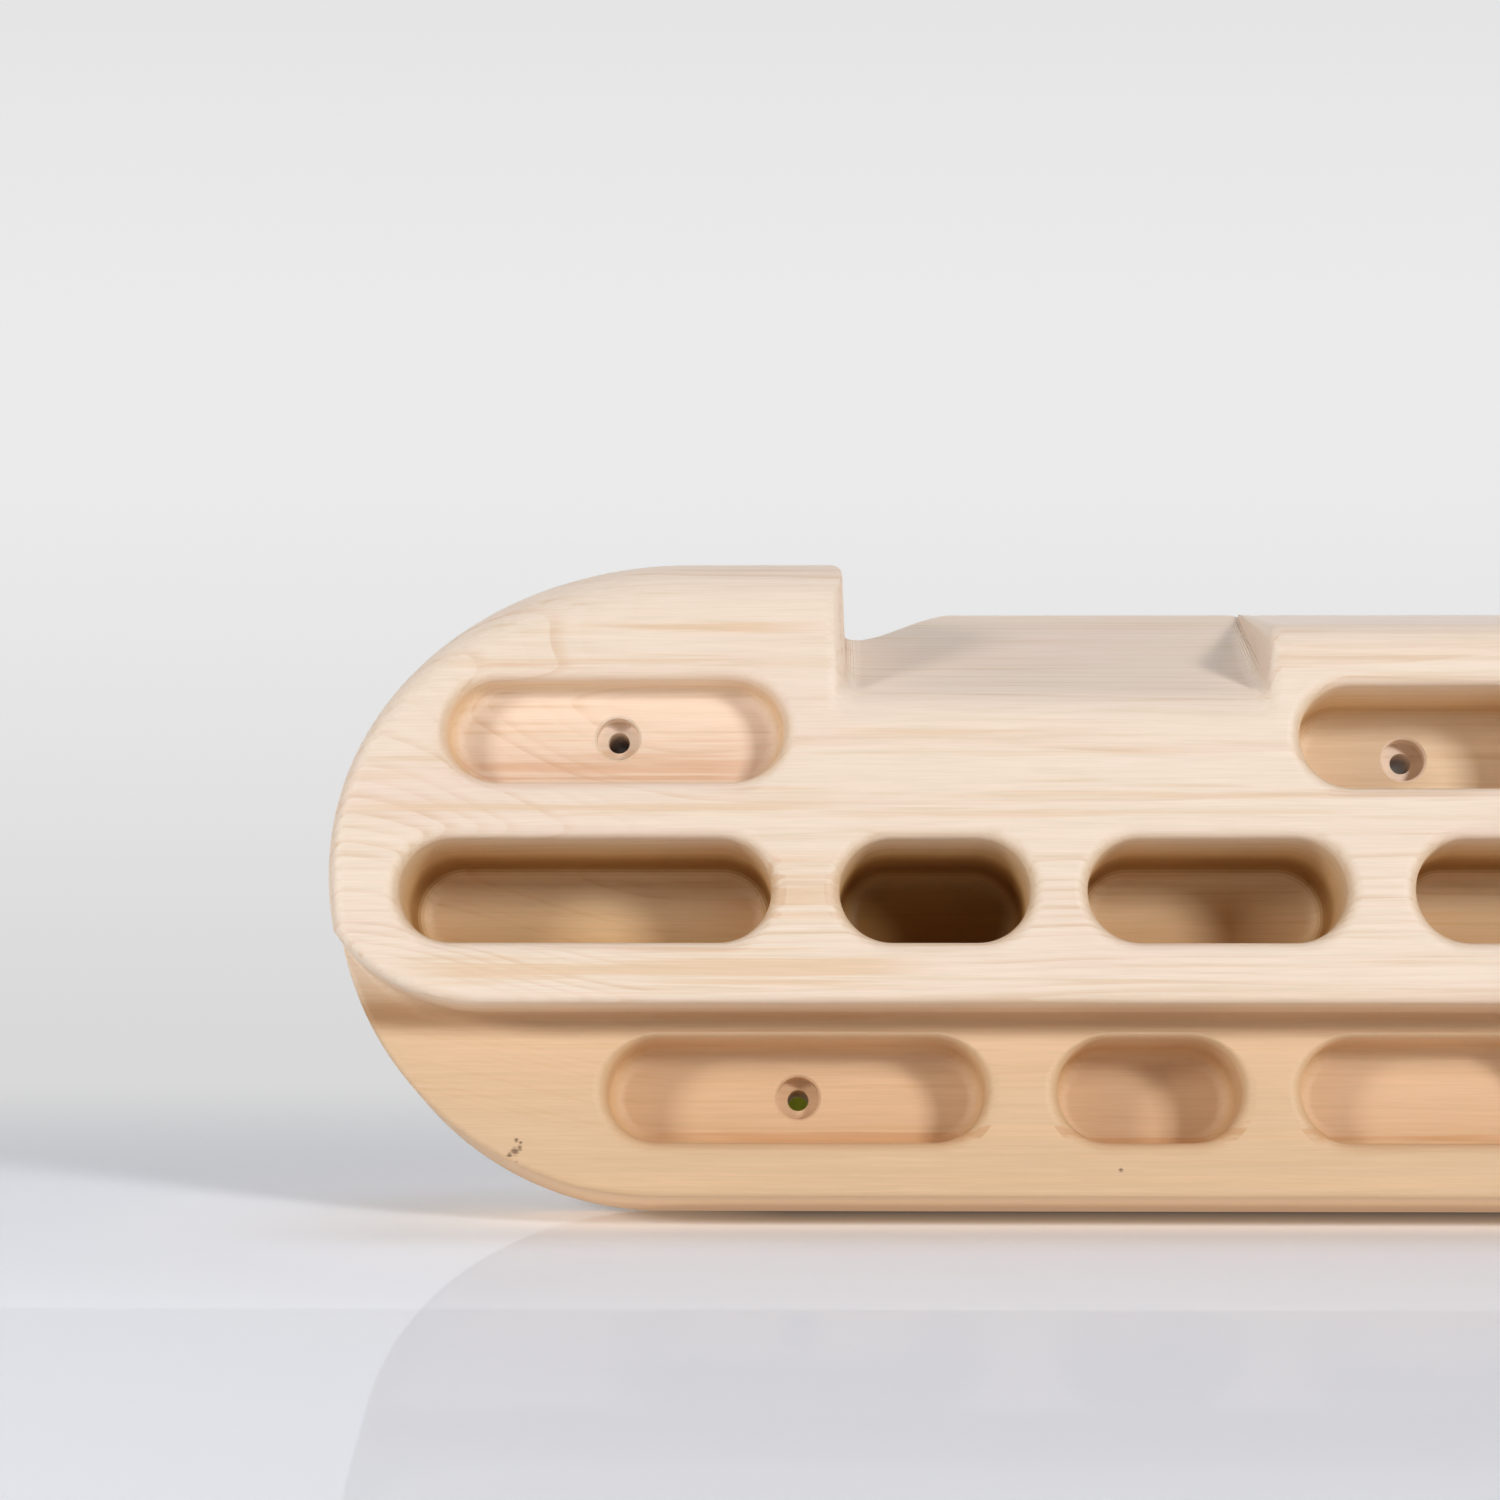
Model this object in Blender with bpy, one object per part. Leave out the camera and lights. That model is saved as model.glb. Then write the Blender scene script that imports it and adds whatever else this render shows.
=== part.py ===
"""A climbing hangboard carved from one block of tulipwood.

Lengths are in millimetres. Across is measured from the middle of the board, up from its
bottom edge, and back from the plane of its front face. The left half is drawn, and the
right half is its mirror image. In the model, +X is across to the right, +Y runs back
towards the wall, +Z is up, and the origin is the middle of the back face.
"""

from collections import namedtuple
from math import asin, atan2, cos, inf, pi, radians, sin, sqrt, tan

import bmesh
import bpy
from mathutils import Vector

MM = 0.001

# The block
WIDTH = 580.0
HEIGHT = 147.0
THICKNESS = 58.0
BACK_EASE = 0.8

# The round ends: above and below the widest height each end is a quarter ellipse
WIDEST_HEIGHT = 73.5
END_LENGTH_ABOVE = 82.0
END_LENGTH_BELOW = 75.0

# The step: the upper part stands in front of the lower part, and turns up near the ends
STEP_HEIGHT = 42.0
STEP_DEPTH = 20.0
STEP_TURN = 35.0
STEP_RISE = 16.5
STEP_FILLET = 4.0

# Roundings of the front edges: on the jugs, on the ends, under the step and along the bottom. The
# jugs' rounding fades into the ends with this power of how far the edge faces up.
JUG_ROUND = 14.0
END_ROUND = 4.0
STEP_ROUND = 2.5
LOWER_ROUND = 3.0
ROUND_FADE = 3

# The largest shares that one rounding takes of the narrowing step, and of a low wall by a sloper
STEP_SHARE = 0.3
FOOT_SHARE = 0.5
CORNER_SHARE = 0.4

# The slopers, between the two jugs: how far they reach, how steep they are and how round in front
SLOPER_REACH = 172.0
CENTRE_REACH = 75.0
SLOPER_DROP = 0.7
SIDE_SLOPE = radians(30.4)
CENTRE_SLOPE = radians(16.0)
SIDE_ROUND = 11.3
CENTRE_ROUND = 7.0
WALL_FOOT = 4.0
JUG_CORNER = 5.0
CENTRE_CORNER = 3.5
WALL_LEAN = 0.4

# The groove behind each jug, open to the wall, where the fingertips hook in
LIP_THICKNESS = 25.0
LIP_REAR_ROUND = 14.0
LIP_REAR_LEAN = radians(25.0)
GROOVE_DEPTH = 28.0
GROOVE_FILLET = 8.0
GROOVE_INNER_END = 170.0
GROOVE_OUTER_END = 235.0
GROOVE_RUNOUT = 31.0

# The finger pockets, in three rows laid out from the middle: the rib before each, its width and
# its depth from the face that it is cut in
Hold = namedtuple("Hold", "rib width depth")
POCKET_HEIGHT = 24.0
TOP_ROW = (Hold(7.25, 60.5, 28.5), Hold(118.25, 77.5, 12.0))
MIDDLE_HOLD = Hold(0.0, 84.5, 40.0)
MIDDLE_ROW = (Hold(15.5, 59.0, 40.0), Hold(13.0, 43.5, 45.0), Hold(15.5, 85.0, 40.0))
LOWER_ROW = (Hold(6.5, 60.5, 15.5), Hold(13.5, 42.5, 22.5), Hold(16.5, 87.5, 18.5))
TOP_ROW_BELOW_TOP = (43.2, 41.9)
MIDDLE_ROW_ABOVE_STEP = 26.0
LOWER_ROW_BELOW_STEP = 17.3
POCKET_LIP = 3.5
LIP_UNDER_STEP = 1.2
FLOOR_FILLETS = {"top": 5.0, "top_outer": 4.0, "middle": 5.0, "lower": 4.0}

# The screw holes: a counterbore for the head and a through hole in the floors of three pockets
# on each side, with their distances outwards of and above the middle of the pocket
Screw = namedtuple("Screw", "row hold outward up")
SCREWS = (Screw("top", 0, 2.5, 0.0), Screw("top", 1, -0.25, 0.2), Screw("lower", 2, -0.5, 0.1))
HEAD_DIAMETER = 10.0
HEAD_DEPTH = 5.0
SHANK_DIAMETER = 5.0

# Steps in each rounding, how far a cutter reaches past the wood, and the least angle of an edge
# that is shaded sharp
ROUND_STEPS = 5
LIP_STEPS = 3
END_STEPS = 10
POCKET_STEPS = 8
SCREW_STEPS = 16
RUNOUT_STEPS = 8
PAST = 5.0
LEAD = 0.3
SHARP_ANGLE = radians(35.0)


def place(across, up, back):
    """The model's point, in metres, for a point given by the drawing's three lengths."""
    return Vector((across, back - THICKNESS, up - HEIGHT / 2)) * MM


def smooth(t):
    """An even S from 0 to 1 as t goes from 0 to 1."""
    t = min(max(t, 0.0), 1.0)
    return t * t * (3 - 2 * t)


def spaced(start, end, steps):
    """Evenly spaced numbers from start to end, both included."""
    return [start + (end - start) * i / steps for i in range(steps + 1)]


def mirrored(half):
    """A closed loop from its left half, whose first and last points lie on the middle line."""
    return half + [(-across, up) for across, up in half[-2:0:-1]]


def add_loft(mesh, rings):
    """Adds a closed body to mesh: rings of equally many points, joined in turn and capped."""
    loops = [[mesh.verts.new(place(*point)) for point in ring] for ring in rings]
    sides = []
    for near, far in zip(loops, loops[1:]):
        for i, j in zip(range(len(near)), [*range(1, len(near)), 0]):
            sides.append(mesh.faces.new((near[i], near[j], far[j], far[i])))
    bmesh.ops.triangulate(mesh, faces=sides)
    mesh.faces.new(loops[0])
    mesh.faces.new(loops[-1])


def make_object(name, mesh):
    """An object of that name from a bmesh whose bodies are closed, with their faces outwards."""
    bmesh.ops.recalc_face_normals(mesh, faces=mesh.faces)
    data = bpy.data.meshes.new(name)
    mesh.to_mesh(data)
    mesh.free()
    data.shade_smooth()
    data.set_sharp_from_angle(angle=SHARP_ANGLE)
    thing = bpy.data.objects.new(name, data)
    bpy.context.scene.collection.objects.link(thing)
    return thing


def turn_at(up):
    """How far round the left end that height is, below the widest height, as an angle."""
    return asin((WIDEST_HEIGHT - up) / WIDEST_HEIGHT)


def end_point(turn, length, height):
    """A point of the left end: a quarter ellipse that long, and that high from its widest point."""
    return -WIDTH / 2 + length * (1 - cos(turn)), WIDEST_HEIGHT + height * sin(turn)


def lower_edge():
    """Left half of the whole board's edge, from the middle of the bottom to where the step ends."""
    turns = spaced(pi / 2, turn_at(STEP_HEIGHT + STEP_RISE), END_STEPS)
    return [(0.0, 0.0)] + [end_point(turn, END_LENGTH_BELOW, -WIDEST_HEIGHT) for turn in turns]


def step_edge():
    """Left half of the step's edge, from the middle to where it runs out of the board's end."""
    start = -WIDTH / 2 + STEP_TURN
    turn = turn_at(STEP_HEIGHT + STEP_RISE)
    reach = start - end_point(turn, END_LENGTH_BELOW, -WIDEST_HEIGHT)[0]
    radius = (reach**2 + STEP_RISE**2) / (2 * STEP_RISE)
    half = [(0.0, STEP_HEIGHT)]
    for turn in spaced(0.0, 2 * atan2(STEP_RISE, reach), END_STEPS):
        half.append((start - radius * sin(turn), STEP_HEIGHT + radius * (1 - cos(turn))))
    return half


def upper_edge():
    """Left half of the board's edge above the step's end, up to the middle of the top."""
    below = spaced(turn_at(STEP_HEIGHT + STEP_RISE), 0.0, LIP_STEPS)[1:]
    above = spaced(0.0, pi / 2, END_STEPS)[1:]
    half = [end_point(turn, END_LENGTH_BELOW, -WIDEST_HEIGHT) for turn in below]
    half += [end_point(turn, END_LENGTH_ABOVE, HEIGHT - WIDEST_HEIGHT) for turn in above]
    return half + [(0.0, HEIGHT)]


def outward_normals(loop):
    """The outward normal at each point of a closed loop that runs clockwise from the bottom."""
    normals = []
    for i, here in enumerate(loop):
        before = Vector(loop[i - 1]) - Vector(here)
        after = Vector(loop[(i + 1) % len(loop)]) - Vector(here)
        along = after.normalized() - before.normalized()
        normals.append(Vector((-along.y, along.x)).normalized())
    return normals


def front_round(normal):
    """Radius of the front edge where the outline faces that way: most on top, least below."""
    if normal.y > 0:
        return END_ROUND + (JUG_ROUND - END_ROUND) * normal.y**ROUND_FADE
    return END_ROUND + (STEP_ROUND - END_ROUND) * -normal.y


def moved(loop, normals, distances, depths):
    """The loop's points moved inwards by their distances, at their depths."""
    points = []
    for (across, up), normal, inwards, back in zip(loop, normals, distances, depths):
        points.append((across - normal.x * inwards, up - normal.y * inwards, back))
    return points


def distance_to(loop, point):
    """How far a point lies from a closed loop's nearest side."""
    nearest = inf
    for start, end in zip(loop, loop[1:] + loop[:1]):
        side = Vector(end) - Vector(start)
        offset = Vector(point) - Vector(start)
        share = min(max(offset.dot(side) / side.length_squared, 0.0), 1.0)
        nearest = min(nearest, (offset - share * side).length)
    return nearest


def build_block():
    """The block with its round ends, its step and its rounded front edges."""
    shared = upper_edge()
    low = mirrored(lower_edge() + shared)
    high = mirrored(step_edge() + shared)
    low_normals = outward_normals(low)
    high_normals = outward_normals(high)
    rounds = [front_round(normal) for normal in high_normals]
    fillets = [min(STEP_FILLET, distance_to(low, point) * STEP_SHARE) for point in high]
    lower_rounds = [min(LOWER_ROUND, distance_to(high, point) * STEP_SHARE) for point in low]
    rings = []
    for turn in spaced(0.0, pi / 2, ROUND_STEPS):
        inwards = [r * (1 - sin(turn)) for r in rounds]
        rings.append(moved(high, high_normals, inwards, [r * (1 - cos(turn)) for r in rounds]))
    # Where both edges run as one there is nothing to round, so the rings are only kept apart
    for turn in spaced(0.0, pi / 2, LIP_STEPS):
        inwards = [-r * (1 - cos(turn)) for r in fillets]
        depths = [STEP_DEPTH - (r or STEP_FILLET) * (1 - sin(turn)) for r in fillets]
        rings.append(moved(high, high_normals, inwards, depths))
    for i, turn in enumerate(spaced(0.0, pi / 2, LIP_STEPS)):
        inwards = [r * (1 - sin(turn)) for r in lower_rounds]
        spread = LOWER_ROUND * (i + 1) / (LIP_STEPS + 1)
        depths = [STEP_DEPTH + (r * (1 - cos(turn)) if r else spread) for r in lower_rounds]
        rings.append(moved(low, low_normals, inwards, depths))
    for inwards, back in ((0.0, THICKNESS - BACK_EASE), (BACK_EASE, THICKNESS)):
        rings.append(moved(low, low_normals, [inwards] * len(low), [back] * len(low)))
    mesh = bmesh.new()
    add_loft(mesh, rings)
    return make_object("board", mesh)


def sloper_height(back, slope, radius):
    """Height of a sloper's surface at that depth: a straight slope with a round front."""
    top = HEIGHT - SLOPER_DROP
    tangent = radius * (1 - sin(slope))
    if back >= tangent:
        return top - (THICKNESS - back) * tan(slope)
    front = top - (THICKNESS - tangent) * tan(slope) - radius * cos(slope)
    return front + sqrt(max(0.0, radius**2 - (radius - back) ** 2))


def edge_shift(back, radius):
    """How far a wall stands back from its line near the front, where its edge is rounded."""
    if back >= radius:
        return 0.0
    return radius - sqrt(max(0.0, radius**2 - (radius - back) ** 2))


def riser(across, low, high, foot, corner, inwards):
    """Points up a wall at across, from its foot to its top corner; inwards is the wall's wood side."""
    height = high - low
    points = []
    foot_up = min(foot, height * FOOT_SHARE)
    corner_up = min(corner, height * CORNER_SHARE)
    foot_across = across - inwards * WALL_LEAN
    for turn in spaced(0.0, pi / 2, LIP_STEPS):
        points.append((foot_across - inwards * foot * (1 - sin(turn)), low + foot_up * (1 - cos(turn))))
    top_across = across + inwards * WALL_LEAN
    for turn in spaced(0.0, pi / 2, LIP_STEPS):
        points.append(
            (top_across + inwards * corner * (1 - cos(turn)), high - corner_up * (1 - sin(turn)))
        )
    return points


def sloper_section(back):
    """Left half of what is cut away between the jugs at that depth, from the top to the middle."""
    side = sloper_height(back, SIDE_SLOPE, SIDE_ROUND)
    centre = sloper_height(back, CENTRE_SLOPE, CENTRE_ROUND)
    jug = -SLOPER_REACH - edge_shift(back, JUG_CORNER)
    notch = -CENTRE_REACH + edge_shift(back, CENTRE_CORNER)
    jug_wall = riser(jug, side, HEIGHT, WALL_FOOT, JUG_CORNER, -1)[::-1]
    over = 2 * Vector(jug_wall[0]) - Vector(jug_wall[1])
    notch_wall = riser(notch, side, centre, WALL_FOOT, CENTRE_CORNER, 1)
    half = [(over.x, HEIGHT + PAST), tuple(over)] + jug_wall[1:] + notch_wall
    return [(0.0, HEIGHT + PAST)] + half + [(0.0, centre)]


def cut_slopers(board):
    """Cuts the slopers between the two jugs: the flat one in the middle and one on each side."""
    turns = spaced(0.0, pi / 2 - SIDE_SLOPE, ROUND_STEPS + 1)
    depths = [SIDE_ROUND * (1 - cos(turn)) for turn in turns] + [THICKNESS + PAST]
    sections = [mirrored(sloper_section(back)) for back in depths]
    # The first ring carries the round front edges on, to just in front of the face
    lead = LEAD / depths[1]
    ring = []
    for (across, up), (next_across, next_up) in zip(sections[0], sections[1]):
        ring.append((across + (across - next_across) * lead, up + (up - next_up) * lead, -LEAD))
    rings = [ring]
    for back, section in list(zip(depths, sections))[1:]:
        rings.append([(across, up, back) for across, up in section])
    mesh = bmesh.new()
    add_loft(mesh, rings)
    cut(board, make_object("sloper_cutter", mesh))


def groove_section():
    """The groove's outline as (back, up) points, from the top of the lip down to the floor and out."""
    top = HEIGHT - LIP_REAR_ROUND
    points = []
    for turn in spaced(0.0, pi / 2 - LIP_REAR_LEAN, ROUND_STEPS):
        points.append((LIP_THICKNESS + LIP_REAR_ROUND * sin(turn), top + LIP_REAR_ROUND * cos(turn)))
    floor = HEIGHT - GROOVE_DEPTH
    wall_back, wall_up = points[-1]
    centre_up = floor + GROOVE_FILLET
    tangent_up = centre_up - GROOVE_FILLET * sin(LIP_REAR_LEAN)
    tangent_back = wall_back + (wall_up - tangent_up) * tan(LIP_REAR_LEAN)
    centre_back = tangent_back + GROOVE_FILLET * cos(LIP_REAR_LEAN)
    for turn in spaced(LIP_REAR_LEAN, pi / 2, LIP_STEPS):
        points.append((centre_back - GROOVE_FILLET * cos(turn), centre_up - GROOVE_FILLET * sin(turn)))
    over = 2 * Vector(points[0]) - Vector(points[1])
    outer = THICKNESS + PAST
    return [(over.x, HEIGHT + PAST), tuple(over)] + points[1:] + [(outer, floor), (outer, HEIGHT + PAST)]


def cut_grooves(board):
    """Cuts the groove behind each jug, which runs out backwards at both of its ends."""
    section = groove_section()
    shift = THICKNESS - LIP_THICKNESS
    mesh = bmesh.new()
    for side in (-1, 1):
        rings = []
        for t in spaced(0.0, 1.0, RUNOUT_STEPS):
            across = side * (GROOVE_INNER_END - GROOVE_RUNOUT * (1 - t))
            rings.append([(across, up, back + shift * smooth(1 - t)) for back, up in section])
        for t in spaced(0.0, 1.0, RUNOUT_STEPS):
            across = side * (GROOVE_OUTER_END + GROOVE_RUNOUT * t)
            rings.append([(across, up, back + shift * smooth(t)) for back, up in section])
        add_loft(mesh, rings)
    cut(board, make_object("groove_cutter", mesh))


Pocket = namedtuple("Pocket", "across up width depth face fillet lip_above")


def row_centres(holds, start=0.0):
    """Distance of each pocket's middle from the board's, laid outwards from start."""
    centres = []
    edge = start
    for hold in holds:
        centres.append(edge + hold.rib + hold.width / 2)
        edge += hold.rib + hold.width
    return centres


def left_pockets():
    """The pockets of the left half by row, without the one in the middle."""
    rows = {"top": [], "middle": [], "lower": []}
    for i, (hold, across) in enumerate(zip(TOP_ROW, row_centres(TOP_ROW))):
        fillet = FLOOR_FILLETS["top_outer" if i == 1 else "top"]
        up = HEIGHT - TOP_ROW_BELOW_TOP[i]
        rows["top"].append(Pocket(-across, up, hold.width, hold.depth, 0.0, fillet, POCKET_LIP))
    up = STEP_HEIGHT + MIDDLE_ROW_ABOVE_STEP
    for hold, across in zip(MIDDLE_ROW, row_centres(MIDDLE_ROW, MIDDLE_HOLD.width / 2)):
        fillet = FLOOR_FILLETS["middle"]
        rows["middle"].append(Pocket(-across, up, hold.width, hold.depth, 0.0, fillet, POCKET_LIP))
    up = STEP_HEIGHT - LOWER_ROW_BELOW_STEP
    for hold, across in zip(LOWER_ROW, row_centres(LOWER_ROW)):
        fillet = FLOOR_FILLETS["lower"]
        rows["lower"].append(
            Pocket(-across, up, hold.width, hold.depth, STEP_DEPTH, fillet, LIP_UNDER_STEP)
        )
    return rows


def all_pockets():
    """Every pocket by row: the left half's, their mirror images and the one in the middle."""
    rows = {}
    for name, pockets in left_pockets().items():
        rows[name] = pockets + [pocket._replace(across=-pocket.across) for pocket in pockets]
    up = STEP_HEIGHT + MIDDLE_ROW_ABOVE_STEP
    hold = MIDDLE_HOLD
    fillet = FLOOR_FILLETS["middle"]
    rows["middle"].append(Pocket(0.0, up, hold.width, hold.depth, 0.0, fillet, POCKET_LIP))
    return rows


def pocket_ring(pocket, grow, back):
    """The pocket's outline, a slot with round ends, set at back and moved by grow.

    A grow above zero is a share of the rounded lip, which can be smaller along the top of the
    pocket, and one below zero is a length.
    """
    radius = POCKET_HEIGHT / 2
    straight = pocket.width / 2 - radius
    points = []
    for side in (1, -1):
        for turn in spaced(pi / 2, -pi / 2, POCKET_STEPS):
            lip = POCKET_LIP + (pocket.lip_above - POCKET_LIP) * smooth(side * sin(turn))
            size = radius + (grow * lip if grow > 0 else grow)
            across = pocket.across + side * (straight + size * cos(turn))
            points.append((across, pocket.up + side * size * sin(turn), pocket.face + back))
    return points


def pocket_rings(pocket):
    """Rings of a pocket's cutter: past the face, over the rounded lip, down to the rounded floor."""
    first = pi / 2 / LIP_STEPS
    out = 1 + sin(first)
    rings = [pocket_ring(pocket, out, -PAST), pocket_ring(pocket, out, -POCKET_LIP * (1 - cos(first)))]
    for turn in spaced(first, pi / 2, LIP_STEPS - 1):
        rings.append(pocket_ring(pocket, 1 - sin(turn), POCKET_LIP * (1 - cos(turn))))
    for turn in spaced(0.0, pi / 2, LIP_STEPS):
        inset = -pocket.fillet * (1 - cos(turn))
        rings.append(pocket_ring(pocket, inset, pocket.depth - pocket.fillet * (1 - sin(turn))))
    return rings


def cut_pockets(board):
    """Cuts the finger pockets, square to the back. Each row has its own cutter, so rows can meet."""
    for name, pockets in all_pockets().items():
        mesh = bmesh.new()
        for pocket in pockets:
            add_loft(mesh, pocket_rings(pocket))
        cut(board, make_object(f"{name}_row_cutter", mesh))


def screw_ring(across, up, diameter, back):
    """A circle around a screw's axis."""
    turns = [2 * pi * i / SCREW_STEPS for i in range(SCREW_STEPS)]
    radius = diameter / 2
    return [(across + radius * cos(turn), up + radius * sin(turn), back) for turn in turns]


def cut_screw_holes(board):
    """Cuts the counterbored screw holes in the pocket floors."""
    rows = left_pockets()
    mesh = bmesh.new()
    for screw in SCREWS:
        pocket = rows[screw.row][screw.hold]
        floor = pocket.face + pocket.depth
        for side in (-1, 1):
            across = side * (screw.outward - pocket.across)
            up = pocket.up + screw.up
            steps = ((HEAD_DIAMETER, floor - PAST), (HEAD_DIAMETER, floor + HEAD_DEPTH))
            steps += ((SHANK_DIAMETER, floor + HEAD_DEPTH), (SHANK_DIAMETER, THICKNESS + PAST))
            add_loft(mesh, [screw_ring(across, up, diameter, back) for diameter, back in steps])
    cut(board, make_object("screw_cutter", mesh))


def cut(board, cutter):
    """Cuts the cutter's shape out of the board, and keeps the cutter as a wire guide."""
    cutter.display_type = "WIRE"
    cutter.hide_render = True
    boolean = board.modifiers.new(cutter.name, "BOOLEAN")
    boolean.operation = "DIFFERENCE"
    boolean.solver = "EXACT"
    boolean.object = cutter


def tulipwood():
    """Pale tulipwood, sanded smooth and left without a finish."""
    material = bpy.data.materials.new("sanded tulipwood")
    material.use_nodes = True
    shader = material.node_tree.nodes["Principled BSDF"]
    shader.inputs["Base Color"].default_value = (0.78, 0.62, 0.45, 1.0)
    shader.inputs["Roughness"].default_value = 0.55
    shader.inputs["Metallic"].default_value = 0.0
    return material


def build():
    """Builds the whole board."""
    for thing in list(bpy.data.objects):
        bpy.data.objects.remove(thing, do_unlink=True)
    board = build_block()
    board.data.materials.append(tulipwood())
    cut_slopers(board)
    cut_grooves(board)
    cut_pockets(board)
    cut_screw_holes(board)


build()
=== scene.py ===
# %% [markdown]
# # A wooden hangboard
#
# A hangboard is a training board for climbers: a block of hardwood, carved with holds of
# several depths and screwed to a beam. This one is cut from a single piece of pale
# tulipwood, so there is only one thing to model. Everything that the eye reads comes from
# how it was made: a long cutter for the step and the slopers, a round-ended cutter for the
# pockets, a drill for the screw holes, and sandpaper over all of it.
#
# The construction model comes first. It is the fixed frame that the fine board has to fit.

# %% Load the frame
from collections import namedtuple
from math import asin, atan2, cos, inf, pi, radians, sin, sqrt, tan

import bmesh
import bpy
from mathutils import Matrix, Vector


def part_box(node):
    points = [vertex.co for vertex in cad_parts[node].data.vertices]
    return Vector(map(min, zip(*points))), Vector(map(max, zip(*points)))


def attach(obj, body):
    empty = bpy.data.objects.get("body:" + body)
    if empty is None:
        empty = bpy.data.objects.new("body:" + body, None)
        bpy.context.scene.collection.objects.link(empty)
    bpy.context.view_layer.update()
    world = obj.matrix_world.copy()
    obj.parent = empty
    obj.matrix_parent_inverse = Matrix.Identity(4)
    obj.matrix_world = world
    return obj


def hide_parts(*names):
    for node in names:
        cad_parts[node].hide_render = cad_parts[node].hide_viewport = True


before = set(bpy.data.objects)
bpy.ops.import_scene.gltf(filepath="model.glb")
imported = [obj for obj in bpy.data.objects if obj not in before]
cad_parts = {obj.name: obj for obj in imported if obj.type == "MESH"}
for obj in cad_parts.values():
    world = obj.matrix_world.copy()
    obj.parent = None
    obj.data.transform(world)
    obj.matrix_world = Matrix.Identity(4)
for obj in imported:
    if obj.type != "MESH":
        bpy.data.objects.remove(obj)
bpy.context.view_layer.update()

board_low, board_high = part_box("board")

# %% [markdown]
# ## The board's sizes
#
# The construction model is faceted, because it is built for checking fits and collisions. To
# look sanded, the board is drawn again here with many more facets. The overall size is read
# from the frame, and the rest are the same real sizes, in millimetres. Across is measured
# from the middle, up from the bottom edge, and back from the plane of the front face.

# %% Sizes of the block
MM = 0.001
WIDTH = (board_high.x - board_low.x) / MM
HEIGHT = (board_high.z - board_low.z) / MM
THICKNESS = (board_high.y - board_low.y) / MM
BACK_EASE = 0.8
WIDEST_HEIGHT = 73.5
END_LENGTH_ABOVE = 82.0
END_LENGTH_BELOW = 75.0
print(f"block {WIDTH:.1f} x {HEIGHT:.1f} x {THICKNESS:.1f} mm")

# %% Sizes of the step and of the rounded front edges
STEP_HEIGHT = 42.0
STEP_DEPTH = 20.0
STEP_TURN = 35.0
STEP_RISE = 16.5
STEP_FILLET = 4.0
JUG_ROUND = 14.0
END_ROUND = 4.0
STEP_ROUND = 2.5
LOWER_ROUND = 1.5
ROUND_FADE = 3
STEP_SHARE = 0.3
print(f"the upper part stands {STEP_DEPTH} mm in front of the lower part")

# %% How finely each curve is cut
ROUND_STEPS = 14
LIP_STEPS = 8
END_STEPS = 40
POCKET_STEPS = 32
SCREW_STEPS = 48
RUNOUT_STEPS = 24
PAST = 5.0
LEAD = 0.3
print(f"{END_STEPS} steps round each quarter of the ends, {POCKET_STEPS} round each pocket end")

# %% [markdown]
# ## Helpers for lofts
#
# Every shape on this board is a loft: a closed outline that changes a little from one depth
# to the next. The block could be a box with bevels, but its front rounding varies round the
# outline, from 14 mm on the jugs to 2.5 mm under the step, and a bevel has one width. With
# a loft each outline point can have its own rounding.

# %% From the drawing's lengths to the model
def place(across, up, back):
    """The model's point, in metres, for a point given by the drawing's three lengths."""
    return Vector((across, back - THICKNESS, up - HEIGHT / 2)) * MM


def spaced(start, end, steps):
    """Evenly spaced numbers from start to end, both included."""
    return [start + (end - start) * i / steps for i in range(steps + 1)]


def smooth(t):
    """An even S from 0 to 1 as t goes from 0 to 1."""
    t = min(max(t, 0.0), 1.0)
    return t * t * (3 - 2 * t)


def mirrored(half):
    """A closed loop from its left half, whose first and last points lie on the middle line."""
    return half + [(-across, up) for across, up in half[-2:0:-1]]


back_middle = place(0, HEIGHT / 2, THICKNESS)
print("the middle of the back, mm:", [round(c / MM, 1) for c in back_middle])

# %% Joining rings into a solid
def add_loft(mesh, rings):
    """Adds a closed body to mesh: rings of equally many points, joined in turn and capped."""
    loops = [[mesh.verts.new(place(*point)) for point in ring] for ring in rings]
    sides = []
    for near, far in zip(loops, loops[1:]):
        for i, j in zip(range(len(near)), [*range(1, len(near)), 0]):
            sides.append(mesh.faces.new((near[i], near[j], far[j], far[i])))
    bmesh.ops.triangulate(mesh, faces=sides)
    mesh.faces.new(loops[0])
    mesh.faces.new(loops[-1])


def make_object(name, mesh):
    """An object of that name from a bmesh whose bodies are closed, with their faces outwards."""
    bmesh.ops.recalc_face_normals(mesh, faces=mesh.faces)
    data = bpy.data.meshes.new(name)
    mesh.to_mesh(data)
    mesh.free()
    thing = bpy.data.objects.new(name, data)
    bpy.context.scene.collection.objects.link(thing)
    return thing


print("helpers for lofts are ready")

# %% [markdown]
# ## Cutting, as on the machine
#
# The wood is taken away in four passes, and each pass is one cutter that holds all its
# cuts. The cut could stay on the board as a live Boolean modifier. It is applied at once
# here, so that each pass starts from a plain mesh and its result can be counted.

# %% The cut
def carve(board, cutter):
    """Cuts the cutter's shape out of the board for good, and throws the cutter away."""
    boolean = board.modifiers.new("cut", "BOOLEAN")
    boolean.operation = "DIFFERENCE"
    boolean.solver = "EXACT"
    boolean.material_mode = "TRANSFER"
    boolean.object = cutter
    whole = board.data
    cut = board.evaluated_get(bpy.context.evaluated_depsgraph_get())
    board.data = bpy.data.meshes.new_from_object(cut)
    board.modifiers.clear()
    bpy.data.objects.remove(cutter, do_unlink=True)
    bpy.data.meshes.remove(whole)
    print("cut, now", len(board.data.polygons), "faces")


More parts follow.
